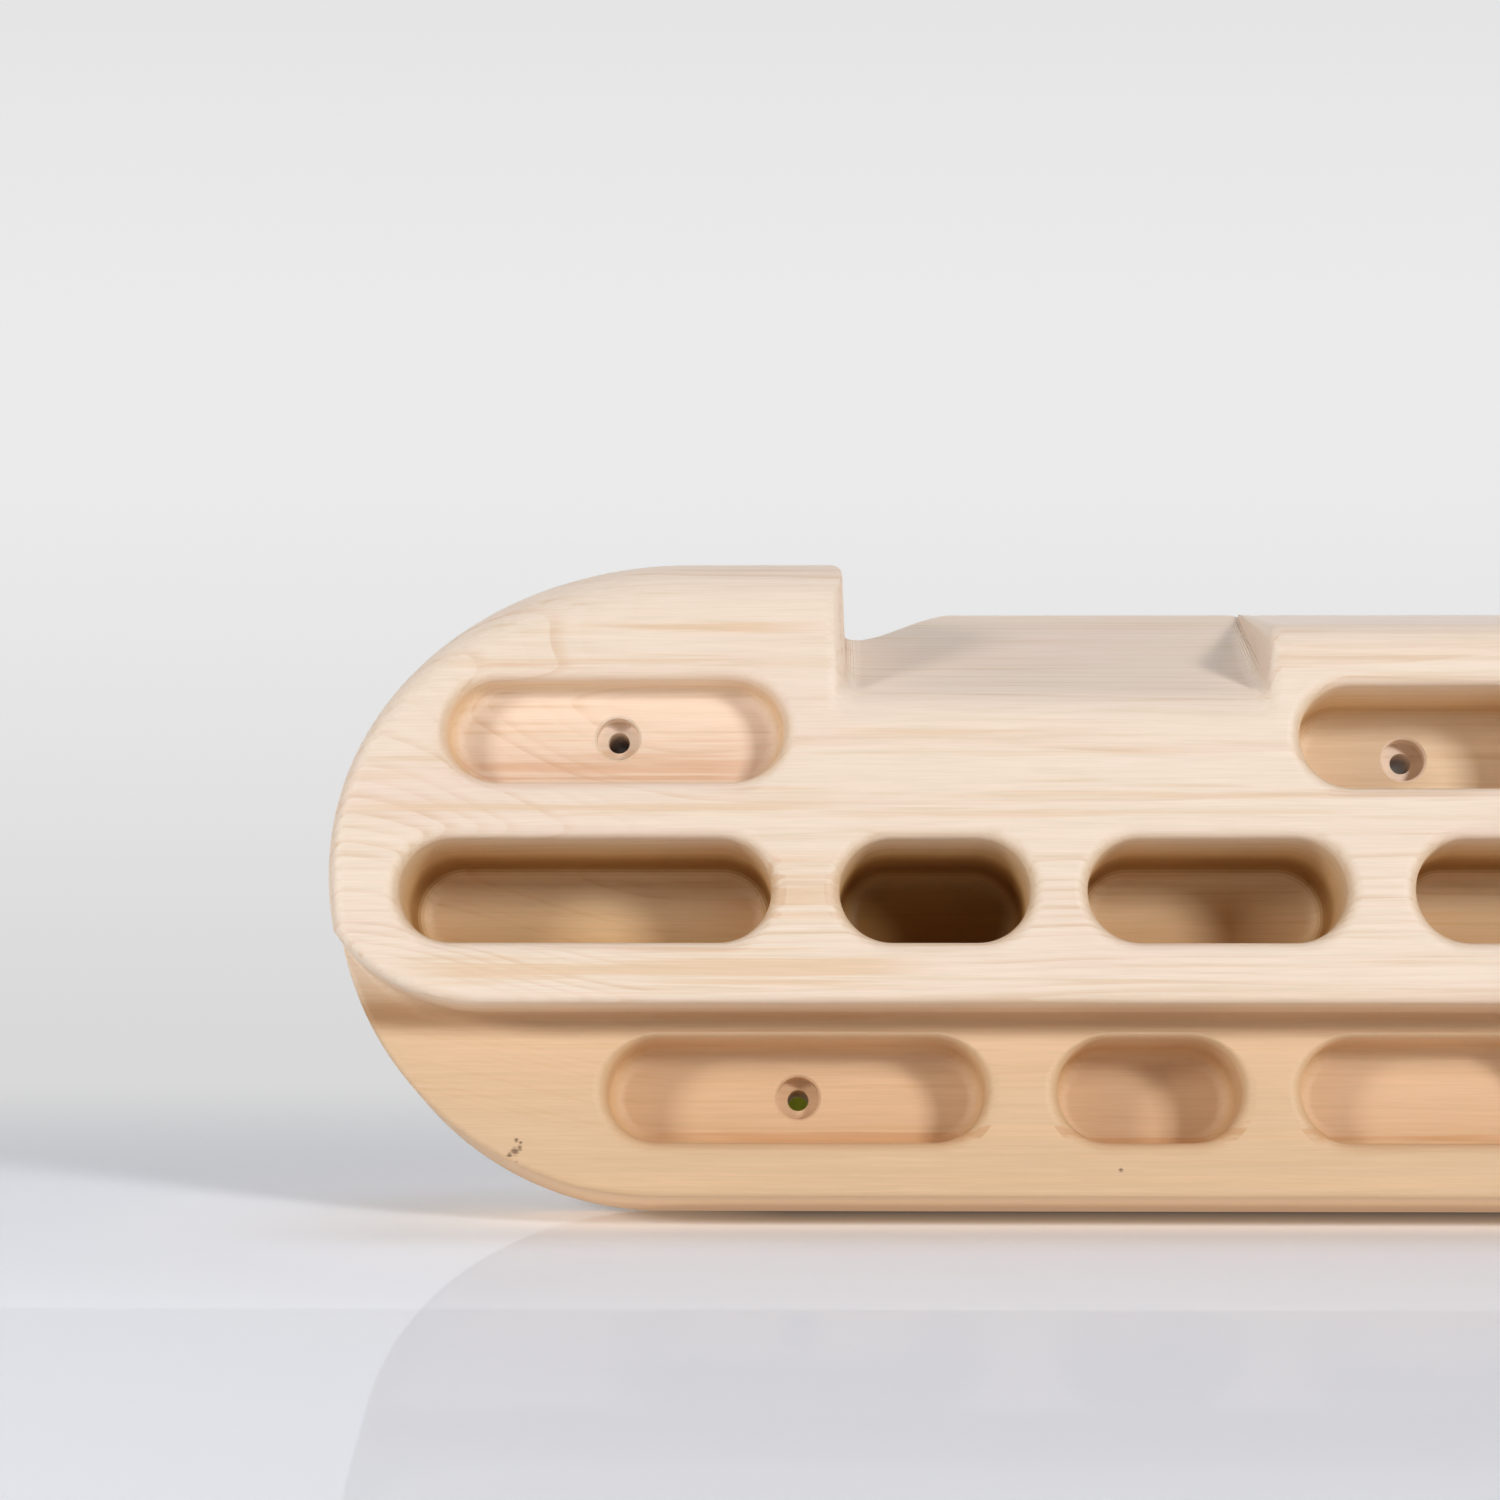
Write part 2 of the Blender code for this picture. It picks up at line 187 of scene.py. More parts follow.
# %% [markdown]
# ## The block
#
# Seen from the front the block is a long tablet whose ends are quarter ellipses, a little
# longer above the widest height than below it. The lower part is cut back by a step, which
# turns up near each end and runs out of the board's side. Two outlines describe this: the
# step's edge in front and the whole board's edge behind. Above the place where they meet
# they share their points, so one loft can run through both.

# %% The outlines
def turn_at(up):
    """How far round the left end that height is, below the widest height, as an angle."""
    return asin((WIDEST_HEIGHT - up) / WIDEST_HEIGHT)


def end_point(turn, length, height):
    """A point of the left end: a quarter ellipse that long, and that high from its widest point."""
    return -WIDTH / 2 + length * (1 - cos(turn)), WIDEST_HEIGHT + height * sin(turn)


def lower_edge():
    """Left half of the whole board's edge, from the middle of the bottom to where the step ends."""
    turns = spaced(pi / 2, turn_at(STEP_HEIGHT + STEP_RISE), END_STEPS)
    return [(0.0, 0.0)] + [end_point(turn, END_LENGTH_BELOW, -WIDEST_HEIGHT) for turn in turns]


def step_edge():
    """Left half of the step's edge, from the middle to where it runs out of the board's end."""
    start = -WIDTH / 2 + STEP_TURN
    turn = turn_at(STEP_HEIGHT + STEP_RISE)
    reach = start - end_point(turn, END_LENGTH_BELOW, -WIDEST_HEIGHT)[0]
    radius = (reach**2 + STEP_RISE**2) / (2 * STEP_RISE)
    half = [(0.0, STEP_HEIGHT)]
    for turn in spaced(0.0, 2 * atan2(STEP_RISE, reach), END_STEPS):
        half.append((start - radius * sin(turn), STEP_HEIGHT + radius * (1 - cos(turn))))
    return half


def upper_edge():
    """Left half of the board's edge above the step's end, up to the middle of the top."""
    below = spaced(turn_at(STEP_HEIGHT + STEP_RISE), 0.0, LIP_STEPS)[1:]
    above = spaced(0.0, pi / 2, END_STEPS)[1:]
    half = [end_point(turn, END_LENGTH_BELOW, -WIDEST_HEIGHT) for turn in below]
    half += [end_point(turn, END_LENGTH_ABOVE, HEIGHT - WIDEST_HEIGHT) for turn in above]
    return half + [(0.0, HEIGHT)]


print(len(mirrored(lower_edge() + upper_edge())), "points round the board")

# %% [markdown]
# The front edges are rounded by moving each outline point inwards, square to the outline,
# by the amount that a quarter circle of its own radius asks for at that depth. The jugs are
# the roundest, because a climber's palm wraps over them.

# %% Roundings of the front edges
def outward_normals(loop):
    """The outward normal at each point of a closed loop that runs clockwise from the bottom."""
    normals = []
    for i, here in enumerate(loop):
        before = Vector(loop[i - 1]) - Vector(here)
        after = Vector(loop[(i + 1) % len(loop)]) - Vector(here)
        along = after.normalized() - before.normalized()
        normals.append(Vector((-along.y, along.x)).normalized())
    return normals


def front_round(normal):
    """Radius of the front edge where the outline faces that way: most on top, least below."""
    if normal.y > 0:
        return END_ROUND + (JUG_ROUND - END_ROUND) * normal.y**ROUND_FADE
    return END_ROUND + (STEP_ROUND - END_ROUND) * -normal.y


def moved(loop, normals, distances, depths):
    """The loop's points moved inwards by their distances, at their depths."""
    points = []
    for (across, up), normal, inwards, back in zip(loop, normals, distances, depths):
        points.append((across - normal.x * inwards, up - normal.y * inwards, back))
    return points


print("front rounding, mm: top", front_round(Vector((0, 1))), "ends", front_round(Vector((-1, 0))))

# %% The block's loft
def distance_to(loop, point):
    """How far a point lies from a closed loop's nearest side."""
    nearest = inf
    for start, end in zip(loop, loop[1:] + loop[:1]):
        side = Vector(end) - Vector(start)
        offset = Vector(point) - Vector(start)
        share = min(max(offset.dot(side) / side.length_squared, 0.0), 1.0)
        nearest = min(nearest, (offset - share * side).length)
    return nearest


def build_block():
    """The block with its round ends, its step and its rounded front edges."""
    shared = upper_edge()
    low = mirrored(lower_edge() + shared)
    high = mirrored(step_edge() + shared)
    low_normals = outward_normals(low)
    high_normals = outward_normals(high)
    rounds = [front_round(normal) for normal in high_normals]
    fillets = [min(STEP_FILLET, distance_to(low, point) * STEP_SHARE) for point in high]
    lower_rounds = [min(LOWER_ROUND, distance_to(high, point) * STEP_SHARE) for point in low]
    rings = []
    for turn in spaced(0.0, pi / 2, ROUND_STEPS):
        inwards = [r * (1 - sin(turn)) for r in rounds]
        rings.append(moved(high, high_normals, inwards, [r * (1 - cos(turn)) for r in rounds]))
    # Where both edges run as one there is nothing to round, so the rings are only kept apart
    for turn in spaced(0.0, pi / 2, LIP_STEPS):
        inwards = [-r * (1 - cos(turn)) for r in fillets]
        depths = [STEP_DEPTH - (r or STEP_FILLET) * (1 - sin(turn)) for r in fillets]
        rings.append(moved(high, high_normals, inwards, depths))
    for i, turn in enumerate(spaced(0.0, pi / 2, LIP_STEPS)):
        inwards = [r * (1 - sin(turn)) for r in lower_rounds]
        spread = LOWER_ROUND * (i + 1) / (LIP_STEPS + 1)
        depths = [STEP_DEPTH + (r * (1 - cos(turn)) if r else spread) for r in lower_rounds]
        rings.append(moved(low, low_normals, inwards, depths))
    for inwards, back in ((0.0, THICKNESS - BACK_EASE), (BACK_EASE, THICKNESS)):
        rings.append(moved(low, low_normals, [inwards] * len(low), [back] * len(low)))
    mesh = bmesh.new()
    add_loft(mesh, rings)
    return make_object("sanded_board", mesh)


sanded = bpy.data.materials.new("sanded_tulipwood")
milled = bpy.data.materials.new("milled_tulipwood")
board = build_block()
board.data.materials.append(sanded)
print("block:", len(board.data.polygons), "faces")

# %% [markdown]
# ## The slopers
#
# Between the jugs the top is planed off to slopes: a gentle one in the middle and a steeper
# one on each side, each with a round front. The whole hollow is one loft that runs from
# front to back, because its section at any depth is easy to say: so high in the middle, so
# high at the sides, and a short wall with a rounded foot and top between them.

# %% Sizes of the slopers
SLOPER_REACH = 172.0
CENTRE_REACH = 75.0
SLOPER_DROP = 0.7
SIDE_SLOPE = radians(30.4)
CENTRE_SLOPE = radians(16.0)
SIDE_ROUND = 11.3
CENTRE_ROUND = 7.0
WALL_FOOT = 4.0
JUG_CORNER = 5.0
CENTRE_CORNER = 3.5
WALL_LEAN = 0.4
FOOT_SHARE = 0.5
CORNER_SHARE = 0.4
print(f"the slopers run {2 * SLOPER_REACH:.0f} mm from jug to jug")

# %% The section between the jugs
def sloper_height(back, slope, radius):
    """Height of a sloper's surface at that depth: a straight slope with a round front."""
    top = HEIGHT - SLOPER_DROP
    tangent = radius * (1 - sin(slope))
    if back >= tangent:
        return top - (THICKNESS - back) * tan(slope)
    front = top - (THICKNESS - tangent) * tan(slope) - radius * cos(slope)
    return front + sqrt(max(0.0, radius**2 - (radius - back) ** 2))


def edge_shift(back, radius):
    """How far a wall stands back from its line near the front, where its edge is rounded."""
    if back >= radius:
        return 0.0
    return radius - sqrt(max(0.0, radius**2 - (radius - back) ** 2))


def riser(across, low, high, foot, corner, inwards):
    """Points up a wall at across, from its foot to its top corner; inwards is the wall's wood side."""
    height = high - low
    points = []
    foot_up = min(foot, height * FOOT_SHARE)
    corner_up = min(corner, height * CORNER_SHARE)
    foot_across = across - inwards * WALL_LEAN
    for turn in spaced(0.0, pi / 2, LIP_STEPS):
        points.append((foot_across - inwards * foot * (1 - sin(turn)), low + foot_up * (1 - cos(turn))))
    top_across = across + inwards * WALL_LEAN
    for turn in spaced(0.0, pi / 2, LIP_STEPS):
        points.append(
            (top_across + inwards * corner * (1 - cos(turn)), high - corner_up * (1 - sin(turn)))
        )
    return points


def sloper_section(back):
    """Left half of what is cut away between the jugs at that depth, from the top to the middle."""
    side = sloper_height(back, SIDE_SLOPE, SIDE_ROUND)
    centre = sloper_height(back, CENTRE_SLOPE, CENTRE_ROUND)
    jug = -SLOPER_REACH - edge_shift(back, JUG_CORNER)
    notch = -CENTRE_REACH + edge_shift(back, CENTRE_CORNER)
    jug_wall = riser(jug, side, HEIGHT, WALL_FOOT, JUG_CORNER, -1)[::-1]
    over = 2 * Vector(jug_wall[0]) - Vector(jug_wall[1])
    notch_wall = riser(notch, side, centre, WALL_FOOT, CENTRE_CORNER, 1)
    half = [(over.x, HEIGHT + PAST), tuple(over)] + jug_wall[1:] + notch_wall
    return [(0.0, HEIGHT + PAST)] + half + [(0.0, centre)]


print(f"side slopers start {sloper_height(0, SIDE_SLOPE, SIDE_ROUND):.1f} mm up in front")

# %% Cutting the slopers
def cut_slopers(board):
    """Cuts the slopers between the two jugs: the flat one in the middle and one on each side."""
    turns = spaced(0.0, pi / 2 - SIDE_SLOPE, ROUND_STEPS + 1)
    depths = [SIDE_ROUND * (1 - cos(turn)) for turn in turns] + [THICKNESS + PAST]
    sections = [mirrored(sloper_section(back)) for back in depths]
    # The first ring carries the round front edges on, to just in front of the face
    lead = LEAD / depths[1]
    ring = []
    for (across, up), (next_across, next_up) in zip(sections[0], sections[1]):
        ring.append((across + (across - next_across) * lead, up + (up - next_up) * lead, -LEAD))
    rings = [ring]
    for back, section in list(zip(depths, sections))[1:]:
        rings.append([(across, up, back) for across, up in section])
    mesh = bmesh.new()
    add_loft(mesh, rings)
    carve(board, make_object("sloper_cutter", mesh))


cut_slopers(board)

# %% [markdown]
# ## The grooves behind the jugs
#
# A jug is good to hold because the fingers hook over it into a groove. The cutter runs along
# the board, so the groove is a profile of depth and height that travels sideways, and backs
# out of the wood in a smooth curve at both of its ends.

# %% Sizes of the grooves
LIP_THICKNESS = 25.0
LIP_REAR_ROUND = 14.0
LIP_REAR_LEAN = radians(25.0)
GROOVE_DEPTH = 28.0
GROOVE_FILLET = 8.0
GROOVE_INNER_END = 170.0
GROOVE_OUTER_END = 235.0
GROOVE_RUNOUT = 31.0
print(f"grooves {GROOVE_OUTER_END - GROOVE_INNER_END:.0f} mm long, {GROOVE_DEPTH:.0f} mm deep")

# %% Cutting the grooves
def groove_section():
    """The groove's outline as (back, up) points, from the top of the lip down to the floor and out."""
    top = HEIGHT - LIP_REAR_ROUND
    points = []
    for turn in spaced(0.0, pi / 2 - LIP_REAR_LEAN, ROUND_STEPS):
        points.append((LIP_THICKNESS + LIP_REAR_ROUND * sin(turn), top + LIP_REAR_ROUND * cos(turn)))
    floor = HEIGHT - GROOVE_DEPTH
    wall_back, wall_up = points[-1]
    centre_up = floor + GROOVE_FILLET
    tangent_up = centre_up - GROOVE_FILLET * sin(LIP_REAR_LEAN)
    tangent_back = wall_back + (wall_up - tangent_up) * tan(LIP_REAR_LEAN)
    centre_back = tangent_back + GROOVE_FILLET * cos(LIP_REAR_LEAN)
    for turn in spaced(LIP_REAR_LEAN, pi / 2, LIP_STEPS):
        points.append((centre_back - GROOVE_FILLET * cos(turn), centre_up - GROOVE_FILLET * sin(turn)))
    over = 2 * Vector(points[0]) - Vector(points[1])
    outer = THICKNESS + PAST
    return [(over.x, HEIGHT + PAST), tuple(over)] + points[1:] + [(outer, floor), (outer, HEIGHT + PAST)]


def cut_grooves(board):
    """Cuts the groove behind each jug, which runs out backwards at both of its ends."""
    section = groove_section()
    shift = THICKNESS - LIP_THICKNESS
    mesh = bmesh.new()
    for side in (-1, 1):
        rings = []
        for t in spaced(0.0, 1.0, RUNOUT_STEPS):
            across = side * (GROOVE_INNER_END - GROOVE_RUNOUT * (1 - t))
            rings.append([(across, up, back + shift * smooth(1 - t)) for back, up in section])
        for t in spaced(0.0, 1.0, RUNOUT_STEPS):
            across = side * (GROOVE_OUTER_END + GROOVE_RUNOUT * t)
            rings.append([(across, up, back + shift * smooth(t)) for back, up in section])
        add_loft(mesh, rings)
    carve(board, make_object("groove_cutter", mesh))


cut_grooves(board)

# %% [markdown]
# ## The finger pockets
#
# The pockets are graded for two, three and four fingers, and in depth. Each is a slot with
# round ends: a round-ended cutter went down, ran sideways and came up, which rounds the
# floor too. The lip is rounded last, so that it doesn't bite the fingers.

# %% Sizes of the pockets
Hold = namedtuple("Hold", "rib width depth")
POCKET_HEIGHT = 24.0
TOP_ROW = (Hold(7.25, 60.5, 28.5), Hold(118.25, 77.5, 12.0))
MIDDLE_HOLD = Hold(0.0, 84.5, 40.0)
MIDDLE_ROW = (Hold(15.5, 59.0, 40.0), Hold(13.0, 43.5, 45.0), Hold(15.5, 85.0, 40.0))
LOWER_ROW = (Hold(6.5, 60.5, 15.5), Hold(13.5, 42.5, 22.5), Hold(16.5, 87.5, 18.5))
TOP_ROW_BELOW_TOP = (43.2, 41.9)
MIDDLE_ROW_ABOVE_STEP = 26.0
LOWER_ROW_BELOW_STEP = 17.3
POCKET_LIP = 3.5
LIP_UNDER_STEP = 1.2
FLOOR_FILLETS = {"top": 5.0, "top_outer": 4.0, "middle": 5.0, "lower": 4.0}
widths = sorted({hold.width for hold in TOP_ROW + MIDDLE_ROW + LOWER_ROW})
print("pockets", POCKET_HEIGHT, "mm high, widths", widths)

# %% Where the pockets lie
Pocket = namedtuple("Pocket", "across up width depth face fillet lip_above")


def row_centres(holds, start=0.0):
    """Distance of each pocket's middle from the board's, laid outwards from start."""
    centres = []
    edge = start
    for hold in holds:
        centres.append(edge + hold.rib + hold.width / 2)
        edge += hold.rib + hold.width
    return centres


def left_pockets():
    """The pockets of the left half by row, without the one in the middle."""
    rows = {"top": [], "middle": [], "lower": []}
    for i, (hold, across) in enumerate(zip(TOP_ROW, row_centres(TOP_ROW))):
        fillet = FLOOR_FILLETS["top_outer" if i == 1 else "top"]
        up = HEIGHT - TOP_ROW_BELOW_TOP[i]
        rows["top"].append(Pocket(-across, up, hold.width, hold.depth, 0.0, fillet, POCKET_LIP))
    up = STEP_HEIGHT + MIDDLE_ROW_ABOVE_STEP
    for hold, across in zip(MIDDLE_ROW, row_centres(MIDDLE_ROW, MIDDLE_HOLD.width / 2)):
        fillet = FLOOR_FILLETS["middle"]
        rows["middle"].append(Pocket(-across, up, hold.width, hold.depth, 0.0, fillet, POCKET_LIP))
    up = STEP_HEIGHT - LOWER_ROW_BELOW_STEP
    for hold, across in zip(LOWER_ROW, row_centres(LOWER_ROW)):
        fillet = FLOOR_FILLETS["lower"]
        rows["lower"].append(
            Pocket(-across, up, hold.width, hold.depth, STEP_DEPTH, fillet, LIP_UNDER_STEP)
        )
    return rows


def all_pockets():
    """Every pocket of the board: the one in the middle and the left ones with their mirror images."""
    up = STEP_HEIGHT + MIDDLE_ROW_ABOVE_STEP
    hold = MIDDLE_HOLD
    pockets = [Pocket(0.0, up, hold.width, hold.depth, 0.0, FLOOR_FILLETS["middle"], POCKET_LIP)]
    for row in left_pockets().values():
        for pocket in row:
            pockets += [pocket, pocket._replace(across=-pocket.across)]
    return pockets


print(len(all_pockets()), "pockets")

# %% Cutting the pockets
def pocket_ring(pocket, grow, back):
    """The pocket's outline, a slot with round ends, set at back and moved by grow.

    A grow above zero is a share of the rounded lip, which can be smaller along the top of the
    pocket, and one below zero is a length.
    """
    radius = POCKET_HEIGHT / 2
    straight = pocket.width / 2 - radius
    points = []
    for side in (1, -1):
        for turn in spaced(pi / 2, -pi / 2, POCKET_STEPS):
            lip = POCKET_LIP + (pocket.lip_above - POCKET_LIP) * smooth(side * sin(turn))
            size = radius + (grow * lip if grow > 0 else grow)
            across = pocket.across + side * (straight + size * cos(turn))
            points.append((across, pocket.up + side * size * sin(turn), pocket.face + back))
    return points


def pocket_rings(pocket):
    """Rings of a pocket's cutter: past the face, over the rounded lip, down to the rounded floor."""
    first = pi / 2 / LIP_STEPS
    out = 1 + sin(first)
    rings = [pocket_ring(pocket, out, -PAST), pocket_ring(pocket, out, -POCKET_LIP * (1 - cos(first)))]
    for turn in spaced(first, pi / 2, LIP_STEPS - 1):
        rings.append(pocket_ring(pocket, 1 - sin(turn), POCKET_LIP * (1 - cos(turn))))
    for turn in spaced(0.0, pi / 2, LIP_STEPS):
        inset = -pocket.fillet * (1 - cos(turn))
        rings.append(pocket_ring(pocket, inset, pocket.depth - pocket.fillet * (1 - sin(turn))))
    return rings


def cut_pockets(board):
    """Cuts all the finger pockets, square to the back."""
    mesh = bmesh.new()
    for pocket in all_pockets():
        add_loft(mesh, pocket_rings(pocket))
    cutter = make_object("pocket_cutter", mesh)
    cutter.data.materials.append(milled)
    carve(board, cutter)


cut_pockets(board)

# %% [markdown]
# ## The screw holes
#
# The board hangs on six screws. Each sits in the floor of a pocket, in a counterbore, so
# that no finger touches its head. The edge of the counterbore is broken a little with
# sandpaper, which catches a thin line of light.

# %% Cutting the screw holes
Screw = namedtuple("Screw", "row hold outward up")
SCREWS = (Screw("top", 0, 2.5, 0.0), Screw("top", 1, -0.25, 0.2), Screw("lower", 2, -0.5, 0.1))
HEAD_DIAMETER = 10.0
HEAD_DEPTH = 5.0
HEAD_EASE = 0.5
SHANK_DIAMETER = 5.0


def screw_ring(across, up, diameter, back):
    """A circle around a screw's axis."""
    turns = [2 * pi * i / SCREW_STEPS for i in range(SCREW_STEPS)]
    radius = diameter / 2
    return [(across + radius * cos(turn), up + radius * sin(turn), back) for turn in turns]


def cut_screw_holes(board):
    """Cuts the counterbored screw holes in the pocket floors."""
    rows = left_pockets()
    mesh = bmesh.new()
    for screw in SCREWS:
        pocket = rows[screw.row][screw.hold]
        floor = pocket.face + pocket.depth
        eased = HEAD_DIAMETER + 2 * HEAD_EASE
        steps = [(HEAD_DIAMETER + 4 * HEAD_EASE, floor - HEAD_EASE), (HEAD_DIAMETER, floor + HEAD_EASE)]
        steps += [(HEAD_DIAMETER, floor + HEAD_DEPTH), (SHANK_DIAMETER, floor + HEAD_DEPTH)]
        steps += [(SHANK_DIAMETER, THICKNESS + PAST)]
        for side in (-1, 1):
            across = side * (screw.outward - pocket.across)
            up = pocket.up + screw.up
            add_loft(mesh, [screw_ring(across, up, diameter, back) for diameter, back in steps])
    carve(board, make_object("screw_cutter", mesh))
    print(f"counterbores {HEAD_DIAMETER} mm, {eased} mm across their broken edge")


cut_screw_holes(board)

# %% [markdown]
# ## Shading the carved board
#
# The flat front face is one large polygon with curved lips round it. If its corners shared
# plain averaged normals, the shading of the lips would leak over the flat wood. Weighted
# normals let the largest face at each corner decide, so flats stay flat, and edges that
# really are sharp are marked first.

# %% Smooth shading with weighted normals
SHARP_ANGLE = radians(32.0)
LARGE_FACE_WEIGHT = 80

board.data.shade_smooth()
board.data.set_sharp_from_angle(angle=SHARP_ANGLE)
weighted = board.modifiers.new("weighted normals", "WEIGHTED_NORMAL")
weighted.keep_sharp = True
weighted.weight = LARGE_FACE_WEIGHT
print("board:", len(board.data.vertices), "vertices")

# %% [markdown]
# ## Colours and nodes
#
# Colours are written as the hex values that a painter or a web page would use, and turned to
# the linear values that light is added up in. One small function adds a shader node, with
# its settings and whatever feeds its sockets, so a material reads as a list of steps.

# %% Helpers for materials
def linear(hex_colour):
    """The linear colour, with full alpha, of an sRGB hex value."""
    channels = [int(hex_colour[i : i + 2], 16) / 255 for i in (1, 3, 5)]
    return [c / 12.92 if c <= 0.04045 else ((c + 0.055) / 1.055) ** 2.4 for c in channels] + [1.0]


def add_node(tree, kind, inputs=None, **settings):
    """Adds a node with its settings; each input is a number, a colour or another node's output."""
    node = tree.nodes.new(kind)
    for name, value in settings.items():
        setattr(node, name, value)
    for key, value in (inputs or {}).items():
        if isinstance(value, bpy.types.NodeSocket):
            tree.links.new(value, node.inputs[key])
        else:
            node.inputs[key].default_value = value
    return node


def start_nodes(owner, output="ShaderNodeOutputMaterial"):
    """Clears the nodes of a material or a world, and gives its tree and output node."""
    owner.use_nodes = True
    owner.node_tree.nodes.clear()
    return owner.node_tree, owner.node_tree.nodes.new(output)


print("middle grey in linear light:", [round(c, 3) for c in linear("#808080")])

# %% [markdown]
# Most steps are small sums on numbers, places or colours. Each gets a plain name in a table,
# with its kind of node, the sockets that its values go to in turn, the output that holds its
# result, and its settings.

# %% Steps by name
SUMS = "add subtract multiply divide maximum absolute fract floor sine less_than"
STEPS = {name: ("ShaderNodeMath", (0, 1), 0, {"operation": name.upper()}) for name in SUMS.split()}
STEPS |= {
    "between": ("ShaderNodeMapRange", range(5), 0, {"interpolation_type": "SMOOTHSTEP"}),
    "slope": ("ShaderNodeMapRange", range(5), 0, {}),
    "move": ("ShaderNodeVectorMath", (0, 1), 0, {"operation": "ADD"}),
    "away from": ("ShaderNodeVectorMath", (0, 1), 0, {"operation": "SUBTRACT"}),
    "stretch": ("ShaderNodeVectorMath", (0, 1), 0, {"operation": "MULTIPLY"}),
    "dim": ("ShaderNodeVectorMath", (0, 3), 0, {"operation": "SCALE"}),
    "length": ("ShaderNodeVectorMath", (0,), 1, {"operation": "LENGTH"}),
    "mix": ("ShaderNodeMix", (0, 6, 7), 2, {"data_type": "RGBA"}),
    "tint": ("ShaderNodeMix", (0, 6, 7), 2, {"data_type": "RGBA", "blend_type": "MULTIPLY"}),
    "add shader": ("ShaderNodeAddShader", (0, 1), 0, {}),
    "mix shader": ("ShaderNodeMixShader", (0, 1, 2), 0, {}),
}


def step(tree, name, *values):
    """Adds the step of that name, fed by the values in turn, and gives its result."""
    kind, sockets, result, settings = STEPS[name]
    return add_node(tree, kind, dict(zip(sockets, values)), **settings).outputs[result]


def graded(tree, value, shades):
    """A colour that runs through a list of (number, hex colour) as value goes from 0 to 1."""
    node = add_node(tree, "ShaderNodeValToRGB", {0: value})
    stops = node.color_ramp.elements
    while len(stops) < len(shades):
        stops.new(1.0)
    for stop, (at, shade) in zip(stops, shades):
        stop.position = at
        stop.color = linear(shade)
    return node.outputs[0]


print(len(STEPS), "named steps")

# %% [markdown]
# ## Sanded tulipwood
#
# Tulipwood is a pale, fine-grained hardwood with faint growth rings, here sanded smooth and
# left bare. A flat picture of grain would slide over the carving like wallpaper. Real grain
# goes through the wood, so the pattern is worked out in three dimensions from each point's
# place in the block: growth rings are cylinders round the middle of the tree, and wherever a
# cut meets them at another angle they draw lines, loops or nested arcs by themselves.

# %% Sizes of the grain, in millimetres
PITH_BACK = 25.0
PITH_UP = 56.0
RING_WIDTH = 1.4
WANDER = 6.0
WANDER_LENGTH = 260.0
WANDER_ACROSS = 80.0
END_SWING = 13.0
END_SWING_FROM = -205.0
END_SWING_TO = -288.0
FIBRE_LENGTH = 16.0
FIBRE_WIDTH = 0.42
STREAK_LENGTH = 70.0
STREAK_WIDTH = 1.7
CLOUD_LENGTH = 80.0
CLOUD_WIDTH = 16.0
print(f"growth rings {RING_WIDTH} mm wide, fibres {FIBRE_WIDTH} mm wide")

# %% Colours of the wood
SAPWOOD = "#F3DFCB"
HEARTWOOD = "#DFBD98"
LATEWOOD = "#D9AE84"
TAN_STREAK = "#E3BE93"
PINK_CLOUD = "#F0D6C6"
END_GRAIN = "#D2B9A0"
MILLED_END_GRAIN = "#DDBD90"
KNOT = "#6B4A33"
print("sapwood", SAPWOOD, "heartwood", HEARTWOOD)

# %% Each point's place in the block, and the noises that most marks use
Wood = namedtuple("Wood", "tree point across back up fibres streaks")
# Nearly all of a noise's values lie in this range
NOISE_RANGE = (0.3, 0.7)


def stretched_noise(tree, point, length, width, detail, rough=0.5):
    """Noise drawn out along the grain, in a period of that length and width."""
    where = step(tree, "stretch", point, (1 / length, 1 / width, 1 / width))
    inputs = {"Vector": where, "Scale": 1.0, "Detail": detail, "Roughness": rough}
    return add_node(tree, "ShaderNodeTexNoise", inputs).outputs[0]


def start_wood(tree):
    """The wood's places, in millimetres, with its fibres and its soft streaks."""
    coordinates = add_node(tree, "ShaderNodeTexCoord").outputs["Object"]
    point = step(tree, "stretch", coordinates, (1 / MM,) * 3)
    across, back, up = add_node(tree, "ShaderNodeSeparateXYZ", {0: point}).outputs
    fibres = stretched_noise(tree, point, FIBRE_LENGTH, FIBRE_WIDTH, detail=3.0, rough=0.6)
    streaks = stretched_noise(tree, point, STREAK_LENGTH, STREAK_WIDTH, detail=3.0)
    return Wood(tree, point, across, back, up, fibres, streaks)


print("fibres", FIBRE_LENGTH, "mm long, streaks", STREAK_LENGTH, "mm long")

# %% [markdown]
# The trunk wasn't quite straight, so the rings wander slowly along the board, and swing more
# near its end. Each ring darkens towards its late, dense edge and starts again pale. Some
# years are stronger than others.

# %% Growth rings
RING_DARKENS = (0.3, 0.9)
RING_ENDS = (0.92, 1.0)
RING_CHANCES = (0.2, 1.0)
RING_STRENGTHS = (0.1, 1.0)


def grown_place(wood):
    """Each point's place in the tree, which a slow wave shifts from its place in the block."""
    periods = (1 / WANDER_LENGTH, 1 / WANDER_ACROSS, 1 / WANDER_ACROSS)
    where = step(wood.tree, "stretch", wood.point, periods)
    wave = add_node(wood.tree, "ShaderNodeTexNoise", {"Vector": where, "Scale": 1.0, "Detail": 2.0})
    drift = step(wood.tree, "away from", wave.outputs["Color"], (0.5, 0.5, 0.5))
    drift = step(wood.tree, "stretch", drift, (0.0, 2 * WANDER, 2 * WANDER))
    return step(wood.tree, "move", wood.point, drift)


